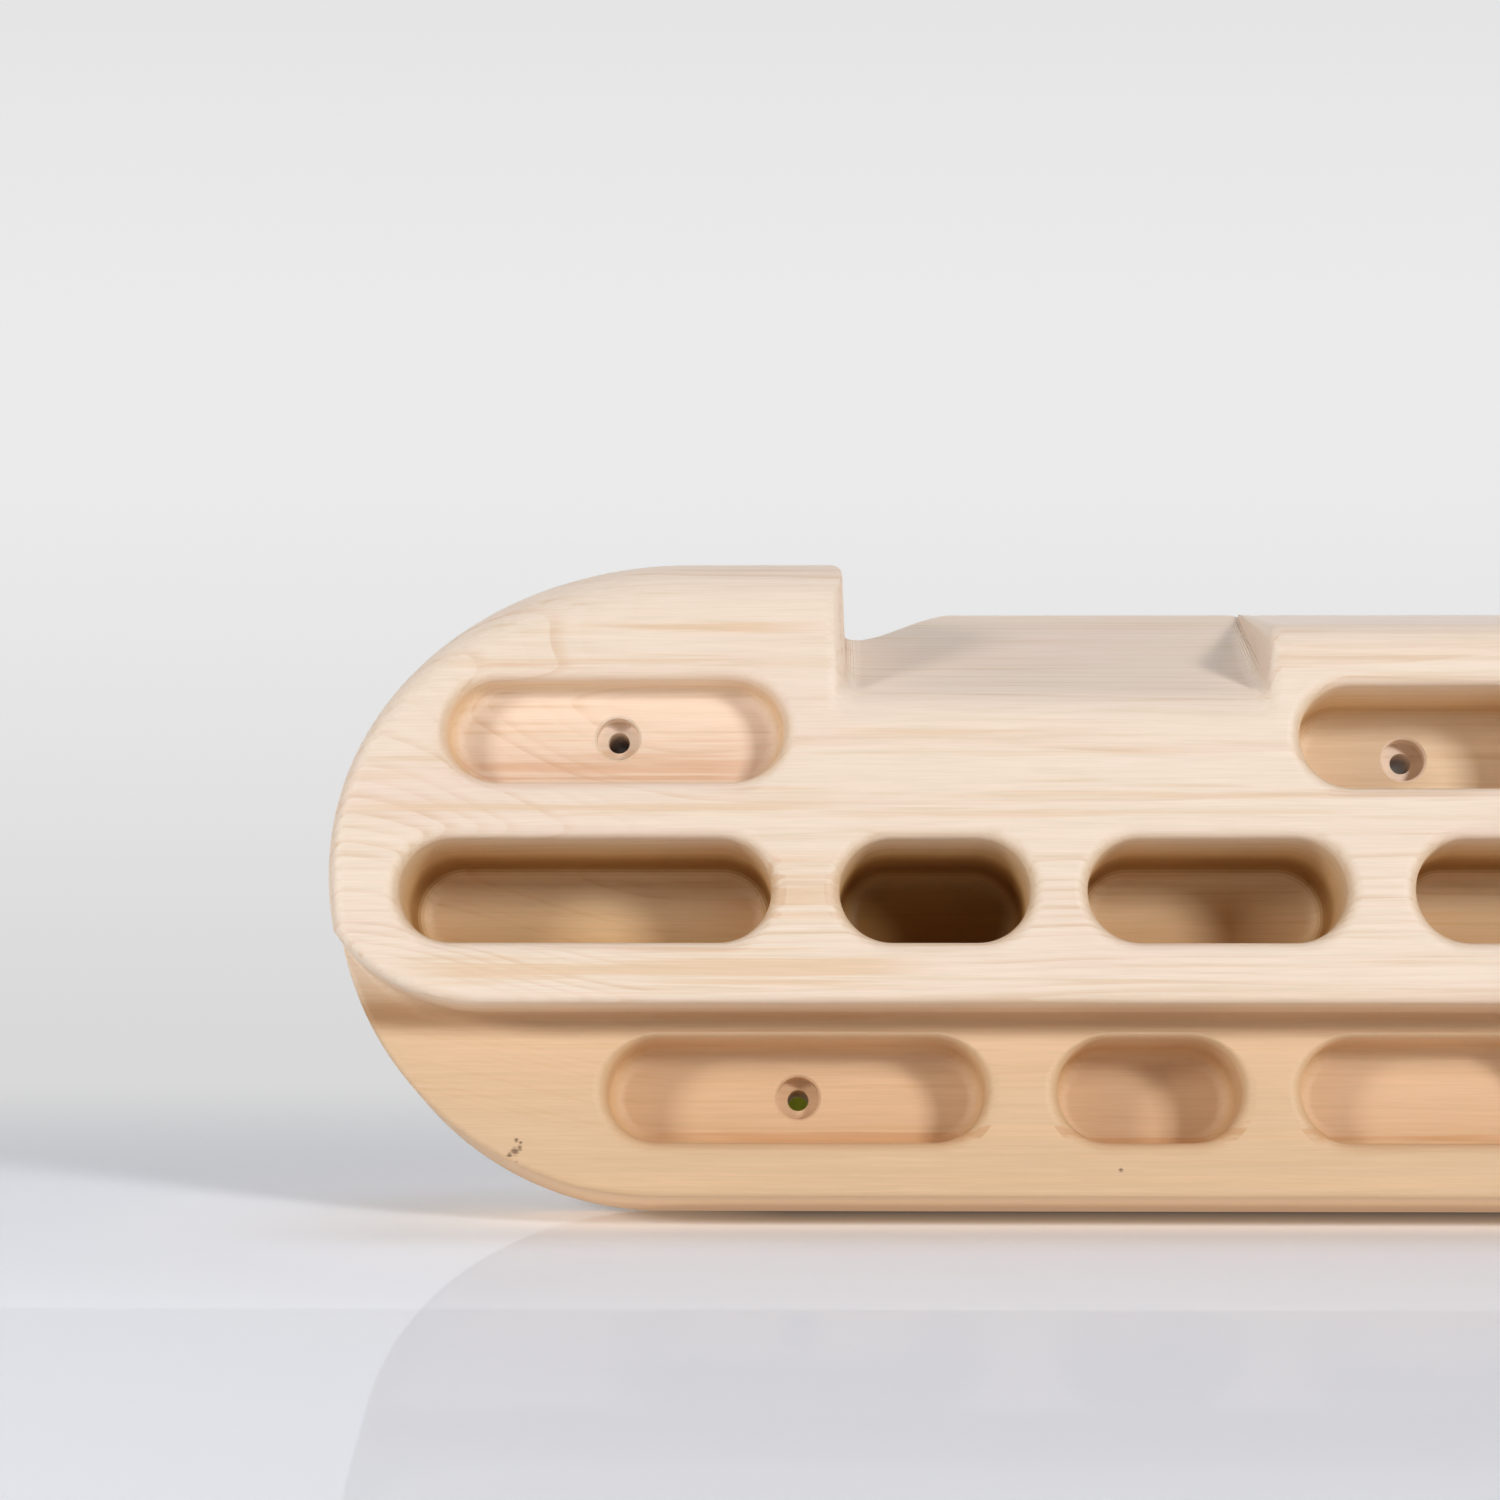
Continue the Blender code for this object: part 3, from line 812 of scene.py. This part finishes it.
def late_wood(wood, grown):
    """How far a point lies in the dense late edge of its ring, from 0 to 1."""
    tree = wood.tree
    from_pith = step(tree, "away from", grown, (0.0, PITH_BACK, PITH_UP))
    radius = step(tree, "length", step(tree, "stretch", from_pith, (0.0, 1.0, 1.0)))
    swing = step(tree, "between", wood.across, END_SWING_TO, END_SWING_FROM, END_SWING, 0.0)
    years = step(tree, "divide", step(tree, "add", radius, swing), RING_WIDTH)
    age = step(tree, "fract", years)
    darkens = step(tree, "between", age, *RING_DARKENS)
    late = step(tree, "multiply", darkens, step(tree, "between", age, *RING_ENDS, 1.0, 0.0))
    year = step(tree, "floor", years)
    chance = add_node(tree, "ShaderNodeTexWhiteNoise", {"W": year}, noise_dimensions="1D")
    strength = step(tree, "between", chance.outputs[0], *RING_CHANCES, *RING_STRENGTHS)
    return step(tree, "multiply", late, strength)


print("rings round a pith", PITH_BACK, "mm behind the back and", PITH_UP, "mm above the middle")

# %% [markdown]
# The heart of the tree is warmer. It starts behind and below the front face, so the lower
# part and the deep pockets are cut into it. Pinkish clouds and soft tan streaks lie over
# both, and a ring shows in some places and fades in others.

# %% Ground colour of the wood
HEART_BACK = 0.6
HEART_DOWN = 0.8
HEART_LINE = 25.0
HEART_EDGE = (1.0, 16.0)
CLOUD_RANGE = (0.45, 0.75)
CLOUD_SHARE = 0.5
RING_RANGE = (0.35, 0.65)
RING_SHARES = (0.12, 0.42)
STREAK_RANGE = (0.56, 0.78)
STREAK_SHARE = 0.45


def ground_colour(wood, grown, late):
    """Sapwood and heartwood with their clouds, rings and soft streaks."""
    tree = wood.tree
    parts = add_node(tree, "ShaderNodeSeparateXYZ", {0: grown}).outputs
    behind = step(tree, "multiply", step(tree, "add", parts[1], THICKNESS), HEART_BACK)
    above = step(tree, "multiply", step(tree, "add", parts[2], HEART_LINE), HEART_DOWN)
    heart = step(tree, "between", step(tree, "subtract", behind, above), *HEART_EDGE)
    colour = step(tree, "mix", heart, linear(SAPWOOD), linear(HEARTWOOD))
    pink = step(tree, "mix", heart, linear(PINK_CLOUD), linear(HEARTWOOD))
    clouds = stretched_noise(tree, wood.point, CLOUD_LENGTH, CLOUD_WIDTH, detail=2.0)
    cloudy = step(tree, "between", clouds, *CLOUD_RANGE, 0.0, CLOUD_SHARE)
    colour = step(tree, "mix", cloudy, colour, pink)
    shown = step(tree, "between", wood.streaks, *RING_RANGE, *RING_SHARES)
    colour = step(tree, "mix", step(tree, "multiply", late, shown), colour, linear(LATEWOOD))
    streaky = step(tree, "between", wood.streaks, *STREAK_RANGE, 0.0, STREAK_SHARE)
    return step(tree, "mix", streaky, colour, linear(TAN_STREAK))


print("heartwood starts over", HEART_EDGE[1] - HEART_EDGE[0], "mm")

# %% Light and dark fibres
FIBRE_SHADES = (-0.04, 0.03)
STREAK_SHADES = (0.02, -0.02)
BLUE_SHARE = 1.5


def fine_shades(wood, colour):
    """The colour with light and dark fibres, a little stronger in blue, which warms the dark ones."""
    tree = wood.tree
    fibres = step(tree, "between", wood.fibres, *NOISE_RANGE, *FIBRE_SHADES)
    streaks = step(tree, "between", wood.streaks, *NOISE_RANGE, *STREAK_SHADES)
    shade = step(tree, "add", fibres, streaks)
    grey = step(tree, "add", shade, 1.0)
    blue = step(tree, "add", step(tree, "multiply", shade, BLUE_SHARE), 1.0)
    shades = add_node(tree, "ShaderNodeCombineColor", {0: grey, 1: grey, 2: blue}).outputs[0]
    return step(tree, "tint", 1.0, colour, shades)


print("dark fibres are", round(-FIBRE_SHADES[0] * 100), "% darker than the rest")

# %% [markdown]
# Some features belong to this one block and can't be left to noise: a few tan streaks along
# the grain, a small knot on the lower part with specks round it, and some dark flecks. They
# are listed by their places, so that they stay where they are however the noise is changed.

# %% Streaks and dark marks of this block
Streak = namedtuple("Streak", "start end up thickness strength")
STREAKS = (
    Streak(-283.0, -178.0, 13.2, 2.1, 0.5),
    Streak(-196.0, -174.0, 16.6, 1.5, 0.5),
    Streak(-285.0, -275.0, 20.5, 1.4, 0.5),
    Streak(-232.0, -184.0, 55.8, 1.8, 0.6),
    Streak(-262.0, -186.0, 47.6, 1.8, 0.45),
    Streak(-262.0, -192.0, 25.4, 5.5, 0.5),
    Streak(-172.0, -120.0, 31.0, 1.2, 0.4),
    Streak(-160.0, -100.0, 26.2, 1.0, 0.4),
    Streak(-150.0, -30.0, 16.2, 1.2, 0.4),
    Streak(-175.0, -60.0, 12.2, 1.3, 0.4),
    Streak(-268.0, -158.0, -23.8, 4.5, 0.6),
    Streak(-198.0, -172.0, -6.0, 7.0, 0.6),
    Streak(-280.0, 0.0, -70.2, 1.8, 0.4),
    Streak(-215.0, -20.0, -58.6, 2.2, 0.5),
)
STREAK_FADE = 14.0
STREAK_RAGGED = 0.7
KNOT_PLACE = (-247.6, -38.0, -63.1)
MARKS = (
    (0.0, 0.0, 1.3), (-1.2, -0.9, 0.8), (1.1, 0.7, 0.9), (0.3, 2.4, 0.6), (1.3, 1.9, 0.5),
    (0.3, -3.0, 0.8), (-0.9, -3.4, 0.6),
)
FLECKS = ((-108.9, -38.0, -67.1), (-23.5, -18.0, -51.6), (-246.7, -57.0, 51.4))
FLECK_RADIUS = 0.7
MARK_CORE = 0.2
MARK_RAGGED = 0.3
MARK_STRENGTH = 0.8
print(len(STREAKS), "streaks,", len(MARKS) + len(FLECKS), "dark marks")

# %% Drawing the streaks and the dark marks
def placed_streaks(wood):
    """How far a point lies in one of this block's streaks, whose edges the soft streaks fray."""
    tree = wood.tree
    inside = 0.0
    for streak in STREAKS:
        start, end = streak.start, streak.end
        starts = step(tree, "between", wood.across, start - STREAK_FADE, start + STREAK_FADE)
        ends = step(tree, "between", wood.across, end - STREAK_FADE, end + STREAK_FADE, 1.0, 0.0)
        off = step(tree, "absolute", step(tree, "subtract", wood.up, streak.up))
        ragged = STREAK_RAGGED * streak.thickness
        off = step(tree, "add", off, step(tree, "between", wood.streaks, *NOISE_RANGE, -ragged, ragged))
        here = step(tree, "between", off, 0.0, streak.thickness, streak.strength, 0.0)
        here = step(tree, "multiply", step(tree, "multiply", starts, ends), here)
        inside = step(tree, "maximum", inside, here)
    return inside


def dark_marks(wood):
    """How far a point lies in the knot, its specks or a fleck, whose edges the fibres fray."""
    tree = wood.tree
    x, y, z = KNOT_PLACE
    spots = [(x + right, y, z + up, size) for right, up, size in MARKS]
    spots += [(*fleck, FLECK_RADIUS) for fleck in FLECKS]
    dark = 0.0
    for x, y, z, size in spots:
        away = step(tree, "length", step(tree, "away from", wood.point, (x, y, z)))
        ragged = MARK_RAGGED * size
        away = step(tree, "add", away, step(tree, "between", wood.fibres, *NOISE_RANGE, -ragged, ragged))
        here = step(tree, "between", away, size * MARK_CORE, size, MARK_STRENGTH, 0.0)
        dark = step(tree, "maximum", dark, here)
    return dark


print("largest mark", 2 * max(size for *_, size in MARKS), "mm across")

# %% [markdown]
# Inside the pockets the photographed wood is browner and darker the deeper it lies. Part of
# that comes by itself, because light that bounces from wall to wall takes on the wood's
# colour each time. The tints below make up for the rest, and so does the one in the crease
# under the step. They are no property of the wood: they were matched to shadows that come
# out too pale with these lamps. They lie in the material, so they show from every side.

# %% Tints that help the shadows, by distance in millimetres
FLOOR_TINTS = (
    (0.0, "#FFFFFF"), (12.0, "#FFF7F1"), (28.5, "#F1E6CE"), (40.3, "#F8EED4"), (45.0, "#A58C46"),
)
WALL_TINTS = (
    (0.0, "#FFFFFF"), (5.0, "#FDF7EA"), (22.0, "#F3E3BC"), (30.0, "#C9AC78"), (42.0, "#A88857"),
)
DEEPEST = 46.0
TOP_ROW_FROM = (10.0, 18.0)
TOP_ROW_TINT = 0.8
LOWER_ROW_TINT = 0.3
CREASE_TINT = "#DCC8B4"
CREASE_CORE = 0.5
CREASE_REACH = 6.0
STEP_LINE = STEP_HEIGHT - HEIGHT / 2


def by_depth(tree, depth, tints):
    """The tint at that depth."""
    shades = [(at / DEEPEST, shade) for at, shade in tints]
    return graded(tree, step(tree, "divide", depth, DEEPEST), shades)


def pocket_tint(wood, colour, depth, on_step, wall):
    """The colour with the tint of its depth, full in the middle row and less in the others."""
    tree = wood.tree
    floor_tint = by_depth(tree, depth, FLOOR_TINTS)
    tinted = step(tree, "mix", wall, floor_tint, by_depth(tree, depth, WALL_TINTS))
    share = step(tree, "between", wood.up, *TOP_ROW_FROM, 1.0, TOP_ROW_TINT)
    less = step(tree, "multiply", on_step, 1 - LOWER_ROW_TINT)
    share = step(tree, "multiply", share, step(tree, "subtract", 1.0, less))
    return step(tree, "tint", share, colour, tinted)


def crease_tint(wood, colour):
    """The colour with the tint of the crease under the step."""
    tree = wood.tree
    crease = step(tree, "away from", wood.point, (0.0, STEP_DEPTH - THICKNESS, STEP_LINE))
    crease = step(tree, "length", step(tree, "stretch", crease, (0.0, 1.0, 1.0)))
    near = step(tree, "between", crease, CREASE_CORE, CREASE_REACH, 1.0, 0.0)
    return step(tree, "tint", near, colour, linear(CREASE_TINT))


print("tints down to", DEEPEST, "mm")

# %% [markdown]
# The two finishes share all of this. The fibres stand up from the sanded surface by a few
# hundredths of a millimetre. In the pockets the round-ended cutter went down in passes,
# which left faint lines round the walls. Where a cut crosses the fibres, their open ends
# soak up light, so those places are darker.

# %% The wood's material
END_GRAIN_SHARE = 0.4
MILLED_END_TURN = (0.05, 0.8)
SANDED_END_TURN = (0.35, 1.0)
WALL_TURN = (0.45, 0.9)
RING_RELIEF = 0.3
CUTTER_PASS = 1.0
PASS_RELIEF = 0.12
RELIEF_HEIGHT = 0.06
RELIEF_SHARE = 0.35
SANDED_ROUGHNESS = (0.5, 0.6)


def grow_tulipwood(material, in_pocket):
    """Pale tulipwood with rings, fibres, a warmer heart and darker end grain."""
    tree, output = start_nodes(material)
    wood = start_wood(tree)
    grown = grown_place(wood)
    late = late_wood(wood, grown)
    colour = ground_colour(wood, grown, late)
    blend = "tint" if in_pocket else "mix"
    colour = step(tree, blend, placed_streaks(wood), colour, linear(TAN_STREAK))
    colour = fine_shades(wood, colour)
    colour = step(tree, "mix", dark_marks(wood), colour, linear(KNOT))

    normal = add_node(tree, "ShaderNodeNewGeometry").outputs["True Normal"]
    facing = add_node(tree, "ShaderNodeSeparateXYZ", {0: normal}).outputs
    square_on = step(tree, "absolute", facing[0])
    turn = MILLED_END_TURN if in_pocket else SANDED_END_TURN
    end_grain = step(tree, "between", square_on, *turn, 0.0, END_GRAIN_SHARE)
    end_colour = linear(MILLED_END_GRAIN if in_pocket else END_GRAIN)
    colour = step(tree, "mix", end_grain, colour, end_colour)

    relief = step(tree, "add", wood.fibres, step(tree, "multiply", late, RING_RELIEF))
    if in_pocket:
        on_step = step(tree, "less_than", wood.up, STEP_LINE)
        depth = step(tree, "add", wood.back, THICKNESS)
        depth = step(tree, "subtract", depth, step(tree, "multiply", on_step, STEP_DEPTH))
        wall = step(tree, "between", step(tree, "absolute", facing[1]), *WALL_TURN, 1.0, 0.0)
        colour = pocket_tint(wood, colour, depth, on_step, wall)
        passes = step(tree, "sine", step(tree, "multiply", depth, 2 * pi / CUTTER_PASS))
        passes = step(tree, "multiply", step(tree, "multiply", passes, wall), PASS_RELIEF)
        relief = step(tree, "add", relief, passes)
    else:
        colour = crease_tint(wood, colour)

    inputs = {"Height": relief, "Strength": RELIEF_SHARE, "Distance": RELIEF_HEIGHT * MM}
    bump = add_node(tree, "ShaderNodeBump", inputs).outputs[0]
    rough = step(tree, "between", wood.fibres, *NOISE_RANGE, *SANDED_ROUGHNESS)
    inputs = {"Base Color": colour, "Roughness": rough, "Normal": bump}
    shader = add_node(tree, "ShaderNodeBsdfPrincipled", inputs).outputs[0]
    tree.links.new(shader, output.inputs["Surface"])
    print(material.name, "has", len(tree.nodes), "nodes")


grow_tulipwood(sanded, in_pocket=False)
grow_tulipwood(milled, in_pocket=True)

# %% [markdown]
# ## Putting the board in its frame
#
# The fine board takes the place of the faceted one. It rides on the same body, so it would
# follow if the part were moved.

# %% The board rides on its body
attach(board, "root")
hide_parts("board")
print("the board replaces the faceted one")

# %% [markdown]
# ## Camera
#
# The board is photographed from its left half, a little below its middle, with a long lens.
# It leans back on the table, so in the board's own frame the table is the thing that tilts.
# The camera's place is given in that frame.

# %% The camera
CAMERA_PLACE = (-180.8, -897.2, -151.8)
CAMERA_LOOK = Vector((-0.0150, 0.9780, 0.2079))
CAMERA_UP = Vector((0.0, -0.208, 0.978))
LENS = 90.0
SENSOR = 36.0


def aim(look, up):
    """A rotation that turns an object's -Z along look, with its +Y as near to up as can be."""
    back = -look.normalized()
    right = up.cross(back).normalized()
    return Matrix((right, back.cross(right), back)).transposed().to_quaternion()


camera_data = bpy.data.cameras.new("camera")
camera_data.lens = LENS
camera_data.sensor_width = SENSOR
camera = bpy.data.objects.new("camera", camera_data)
camera.location = Vector(CAMERA_PLACE) * MM
camera.rotation_mode = "QUATERNION"
camera.rotation_quaternion = aim(CAMERA_LOOK, CAMERA_UP)
bpy.context.scene.collection.objects.link(camera)
bpy.context.scene.camera = camera
print(f"camera {camera.location.length:.2f} m from the board, lens {LENS} mm")

# %% [markdown]
# ## Table and backdrop
#
# One pale sheet serves as both: it lies flat under the board, curves up behind it and ends
# as a wall, so that no horizon shows. It is drawn level and then tipped by the board's lean.

# %% The sheet
LEAN = radians(13.2)
SHEET_WIDTH = 9.0
SHEET_FRONT = 3.0
SHEET_FLAT = 0.35
SHEET_BEND = 1.2
SHEET_WALL = 2.0
SHEET_BEND_STEPS = 48


def build_sheet():
    """The table and backdrop as one strip, from in front of the board to high behind it."""
    profile = [(-SHEET_FRONT, 0.0)]
    for turn in spaced(0.0, pi / 2, SHEET_BEND_STEPS):
        profile.append((SHEET_FLAT + SHEET_BEND * sin(turn), SHEET_BEND * (1 - cos(turn))))
    profile.append((SHEET_FLAT + SHEET_BEND, SHEET_BEND + SHEET_WALL))
    mesh = bmesh.new()
    rows = []
    for back, up in profile:
        rows.append([mesh.verts.new((across, back, up)) for across in (-SHEET_WIDTH / 2, SHEET_WIDTH / 2)])
    for near, far in zip(rows, rows[1:]):
        mesh.faces.new((near[0], near[1], far[1], far[0]))
    data = bpy.data.meshes.new("sheet")
    mesh.to_mesh(data)
    mesh.free()
    data.shade_smooth()
    sheet = bpy.data.objects.new("sheet", data)
    bpy.context.scene.collection.objects.link(sheet)
    return sheet


sheet = build_sheet()
sheet.location = (0.0, board_high.y - BACK_EASE * MM, board_low.z)
sheet.rotation_euler.x = LEAN
print("sheet:", len(sheet.data.polygons), "strips")

# %% [markdown]
# The table part is matt, with a faint even gloss that mirrors the board. The camera sees it a
# little paler than bounced light does, and with a faint glow. From behind or below, the sheet
# is clear to the camera, so that the board can be looked at from every side.
#
# Two things are helped close to the board. A strip of the table under its front edge
# gives off light that the camera doesn't see, in place of what a bright table throws back
# up. That makes the line where the board stands too bright, so a shade is painted along it,
# for the camera only. Both were judged.

# %% The table's colours, and the helped strip in millimetres
TABLE_COLOUR = "#F2F2F2"
TABLE_SEEN = "#F8FAFF"
TABLE_LIFT = 0.03
TABLE_GLOSS = 0.06
TABLE_ROUGHNESS = 0.03
UNDER_BOARD = 50.0
BOUNCE = 0.3
SHADE_REACH = 24.0
SHADE_DEPTH = 0.85
SHADE_FADE = 30.0
STANDING_LINE = 2.0


def table_top(tree, path, across, back):
    """The matt part alone, and with its gloss as the camera sees it."""
    in_front = step(tree, "slope", back, 0.0, STANDING_LINE * MM, 1.0, 0.0)
    under = step(tree, "slope", back, -UNDER_BOARD * MM, -UNDER_BOARD / 2 * MM, 0.0, BOUNCE)
    under = step(tree, "multiply", under, in_front)
    matt = add_node(tree, "ShaderNodeBsdfDiffuse", {"Color": linear(TABLE_COLOUR)}).outputs[0]
    bounce = add_node(tree, "ShaderNodeEmission", {"Strength": under}).outputs[0]
    matt = step(tree, "add shader", matt, bounce)

    shade = step(tree, "slope", back, -SHADE_REACH * MM, 0.0, 0.0, SHADE_DEPTH)
    foot = WIDTH / 2 - END_LENGTH_BELOW
    fade = (foot - SHADE_FADE) * MM, (foot + SHADE_FADE / 2) * MM
    beside = step(tree, "slope", step(tree, "absolute", across), *fade, 1.0, 0.0)
    shade = step(tree, "multiply", step(tree, "multiply", shade, in_front), beside)
    unshaded = step(tree, "subtract", 1.0, shade)
    seen = step(tree, "dim", linear(TABLE_SEEN)[:3], unshaded)
    pale = add_node(tree, "ShaderNodeBsdfDiffuse", {"Color": seen}).outputs[0]
    lift = add_node(tree, "ShaderNodeEmission", {"Strength": TABLE_LIFT}).outputs[0]
    pale = step(tree, "add shader", pale, lift)
    flat = step(tree, "mix shader", path["Is Camera Ray"], matt, pale)
    inputs = {"Color": (1, 1, 1, 1), "Roughness": TABLE_ROUGHNESS}
    gloss = add_node(tree, "ShaderNodeBsdfGlossy", inputs).outputs[0]
    return matt, step(tree, "mix shader", TABLE_GLOSS, flat, gloss)


print("table top", TABLE_COLOUR, "seen as", TABLE_SEEN)

# %% [markdown]
# The part that curves up reads as a plain pale gradient. It gets that gradient as a colour
# that only the camera and mirrored rays see, so it adds no light to the board. The gradient
# is darker towards the foot of the curve: that part is painted shade, of the bend and of the
# board's shadow behind it.

# %% The backdrop's sizes in metres, and its colours by their share of the height
GLOW_START = 0.03
GLOW_FULL = 0.30
GLOW_HEIGHT = 0.52
GLOW_IN_MIRROR = 2.1
# Darkest at the foot, where the colour is painted shade of the bend and of the board's shadow
GLOW_AND_SHADE_COLOURS = (
    (0.00, "#D9D9D9"), (0.07, "#DEDEDE"), (0.14, "#E2E2E2"), (0.22, "#E5E5E5"), (0.31, "#E8E8E8"),
    (0.41, "#EAEAEA"), (0.52, "#EBEBEB"), (0.67, "#EAEAEA"), (0.83, "#E8E8E8"), (1.00, "#E5E5E5"),
)


def backdrop(tree, path, up, matt):
    """The part that curves up: a gradient with painted shade at its foot, for the camera and for mirrored
    rays, matt for the rest.
    """
    colour = graded(tree, step(tree, "slope", up, 0.0, GLOW_HEIGHT), GLOW_AND_SHADE_COLOURS)
    mirrored_glow = step(tree, "multiply", path["Is Glossy Ray"], GLOW_IN_MIRROR)
    strength = step(tree, "add", path["Is Camera Ray"], mirrored_glow)
    glow = add_node(tree, "ShaderNodeEmission", {"Color": colour, "Strength": strength}).outputs[0]
    seen = step(tree, "maximum", path["Is Camera Ray"], path["Is Glossy Ray"])
    return step(tree, "mix shader", seen, matt, glow)


def pale_sheet():
    """A matt table top that turns into a backdrop with a painted gradient and painted shade at its foot.
    """
    material = bpy.data.materials.new("pale_sheet")
    tree, output = start_nodes(material)
    path = add_node(tree, "ShaderNodeLightPath").outputs
    coordinates = add_node(tree, "ShaderNodeTexCoord").outputs["Object"]
    across, back, up = add_node(tree, "ShaderNodeSeparateXYZ", {0: coordinates}).outputs
    matt, top = table_top(tree, path, across, back)
    far = step(tree, "between", back, GLOW_START, GLOW_FULL)
    front = step(tree, "mix shader", far, top, backdrop(tree, path, up, matt))
    clear = add_node(tree, "ShaderNodeBsdfTransparent").outputs[0]
    behind = add_node(tree, "ShaderNodeNewGeometry").outputs["Backfacing"]
    hide = step(tree, "multiply", behind, path["Is Camera Ray"])
    shader = step(tree, "mix shader", hide, front, clear)
    tree.links.new(shader, output.inputs["Surface"])
    return material


sheet.data.materials.append(pale_sheet())
print(len(GLOW_AND_SHADE_COLOURS), "shades of backdrop")

# %% [markdown]
# Something green shows through the open lower screw hole. A small painted wooden block on the
# table, a few centimetres behind the board, gives that spot its colour. The board hides it
# from the camera everywhere else, but from behind and from the sides it is in plain sight.

# %% The green block behind the board
BLOCK_SIZE = (26.0, 16.0, 40.0)
BLOCK_ACROSS = -183.0
BLOCK_BEHIND = 45.0
BLOCK_EDGE = 1.5
BLOCK_GREEN = "#8FA51C"
BRUSH_MARKS_A_METRE = 400.0
BRUSH_HEIGHT = 0.2
BRUSH_SHARE = 0.2
PAINT_ROUGHNESS = 0.5


def build_green_block():
    """A small block with eased edges, standing on the sheet."""
    mesh = bmesh.new()
    bmesh.ops.create_cube(mesh, size=1.0)
    bmesh.ops.scale(mesh, vec=[side * MM for side in BLOCK_SIZE], verts=mesh.verts)
    ease = BLOCK_EDGE * MM
    bmesh.ops.bevel(mesh, geom=mesh.edges[:], offset=ease, segments=3, affect="EDGES", profile=0.5)
    return make_object("green_block", mesh)


def green_paint():
    """Painted wood: even colour, with the faint waviness that a brush leaves."""
    material = bpy.data.materials.new("green_paint")
    tree, output = start_nodes(material)
    coordinates = add_node(tree, "ShaderNodeTexCoord").outputs["Object"]
    inputs = {"Vector": coordinates, "Scale": BRUSH_MARKS_A_METRE}
    brush = add_node(tree, "ShaderNodeTexNoise", inputs).outputs[0]
    inputs = {"Height": brush, "Strength": BRUSH_SHARE, "Distance": BRUSH_HEIGHT * MM}
    bump = add_node(tree, "ShaderNodeBump", inputs).outputs[0]
    inputs = {"Base Color": linear(BLOCK_GREEN), "Roughness": PAINT_ROUGHNESS, "Normal": bump}
    paint = add_node(tree, "ShaderNodeBsdfPrincipled", inputs).outputs[0]
    tree.links.new(paint, output.inputs["Surface"])
    return material


green_block = build_green_block()
green_block.data.materials.append(green_paint())
stands = Vector((0.0, BLOCK_BEHIND, BLOCK_SIZE[2] / 2)) * MM
stands.rotate(Matrix.Rotation(LEAN, 3, "X"))
green_block.location = sheet.location + stands + Vector((BLOCK_ACROSS * MM, 0.0, 0.0))
green_block.rotation_euler.x = LEAN
print("green block", BLOCK_SIZE, "mm")

# %% [markdown]
# ## Light
#
# Two small softboxes stand in front, one to each side, a little above the board. They leave
# the middle of the deepest pockets dark, and a half shadow at both ends of each pocket. A
# wide, thin lamp lies just above the table, close in front of the board, and lights the
# undersides as a bright table would. Large dim lights from above and from the sides keep
# the slopers and the ends from going flat. A watt figure says little about how bright a
# thing will look, so each light has a level instead: how bright it alone shows a white card
# that faces it. That holds for lamps that are small for their distance, so it says less
# about the wide, thin one.

# %% The lights
Light = namedtuple("Light", "name azimuth elevation distance width height level colour")
LIGHTS = (
    Light("right_softbox", 37.5, 9.8, 2.4, 0.48, 0.40, 0.57, "#FFFFFF"),
    Light("left_softbox", -47.0, 9.0, 1.6, 0.34, 0.25, 0.37, "#FFFFFF"),
    Light("table_bounce", 0.0, -47.0, 0.135, 0.9, 0.09, 0.35, "#FFFFFF"),
    Light("top_fill", 0.0, 82.0, 1.6, 1.0, 0.6, 0.18, "#EEF2FF"),
    Light("left_fill", -90.0, 20.0, 1.6, 0.8, 0.8, 0.11, "#FFFFFF"),
    Light("right_fill", 90.0, 20.0, 1.6, 0.8, 0.8, 0.07, "#FFFFFF"),
)
TARGET = Vector((-120.0, -50.0, 0.0)) * MM


def add_light(light):
    """An area light that far from the board, seen round from its front and up from its middle."""
    turn, rise = radians(light.azimuth), radians(light.elevation)
    away = Vector((sin(turn) * cos(rise), -cos(turn) * cos(rise), sin(rise)))
    data = bpy.data.lights.new(light.name, "AREA")
    data.shape = "RECTANGLE"
    data.size = light.width
    data.size_y = light.height
    # An area light of P watts gives P / (pi d squared) watts a square metre, and white needs pi
    data.energy = light.level * pi**2 * light.distance**2
    data.color = linear(light.colour)[:3]
    lamp = bpy.data.objects.new(light.name, data)
    lamp.location = TARGET + away * light.distance
    lamp.rotation_mode = "QUATERNION"
    lamp.rotation_quaternion = aim(-away, Vector((0, 0, 1)))
    lamp.visible_camera = False
    bpy.context.scene.collection.objects.link(lamp)
    print(f"{light.name}: {data.energy:.1f} W at {light.azimuth:.0f} degrees round")


for light in LIGHTS:
    add_light(light)

# %% [markdown]
# The rest of the room gives a little even light. The camera sees it as plain pale grey.

# %% The world
ROOM_LIGHT = 0.03
ROOM_COLOUR = "#E8ECF4"
ROOM_SEEN = "#E9E9E9"
world = bpy.data.worlds.new("studio")
tree, output = start_nodes(world, "ShaderNodeOutputWorld")
camera_ray = add_node(tree, "ShaderNodeLightPath").outputs["Is Camera Ray"]
inputs = {"Color": linear(ROOM_COLOUR), "Strength": ROOM_LIGHT}
room = add_node(tree, "ShaderNodeBackground", inputs).outputs[0]
inputs = {"Color": linear(ROOM_SEEN), "Strength": 1.0}
pale = add_node(tree, "ShaderNodeBackground", inputs).outputs[0]
seen = step(tree, "mix shader", camera_ray, room, pale)
tree.links.new(seen, output.inputs["Surface"])
bpy.context.scene.world = world
bpy.context.scene.view_settings.view_transform = "Standard"
print("room light", ROOM_LIGHT)
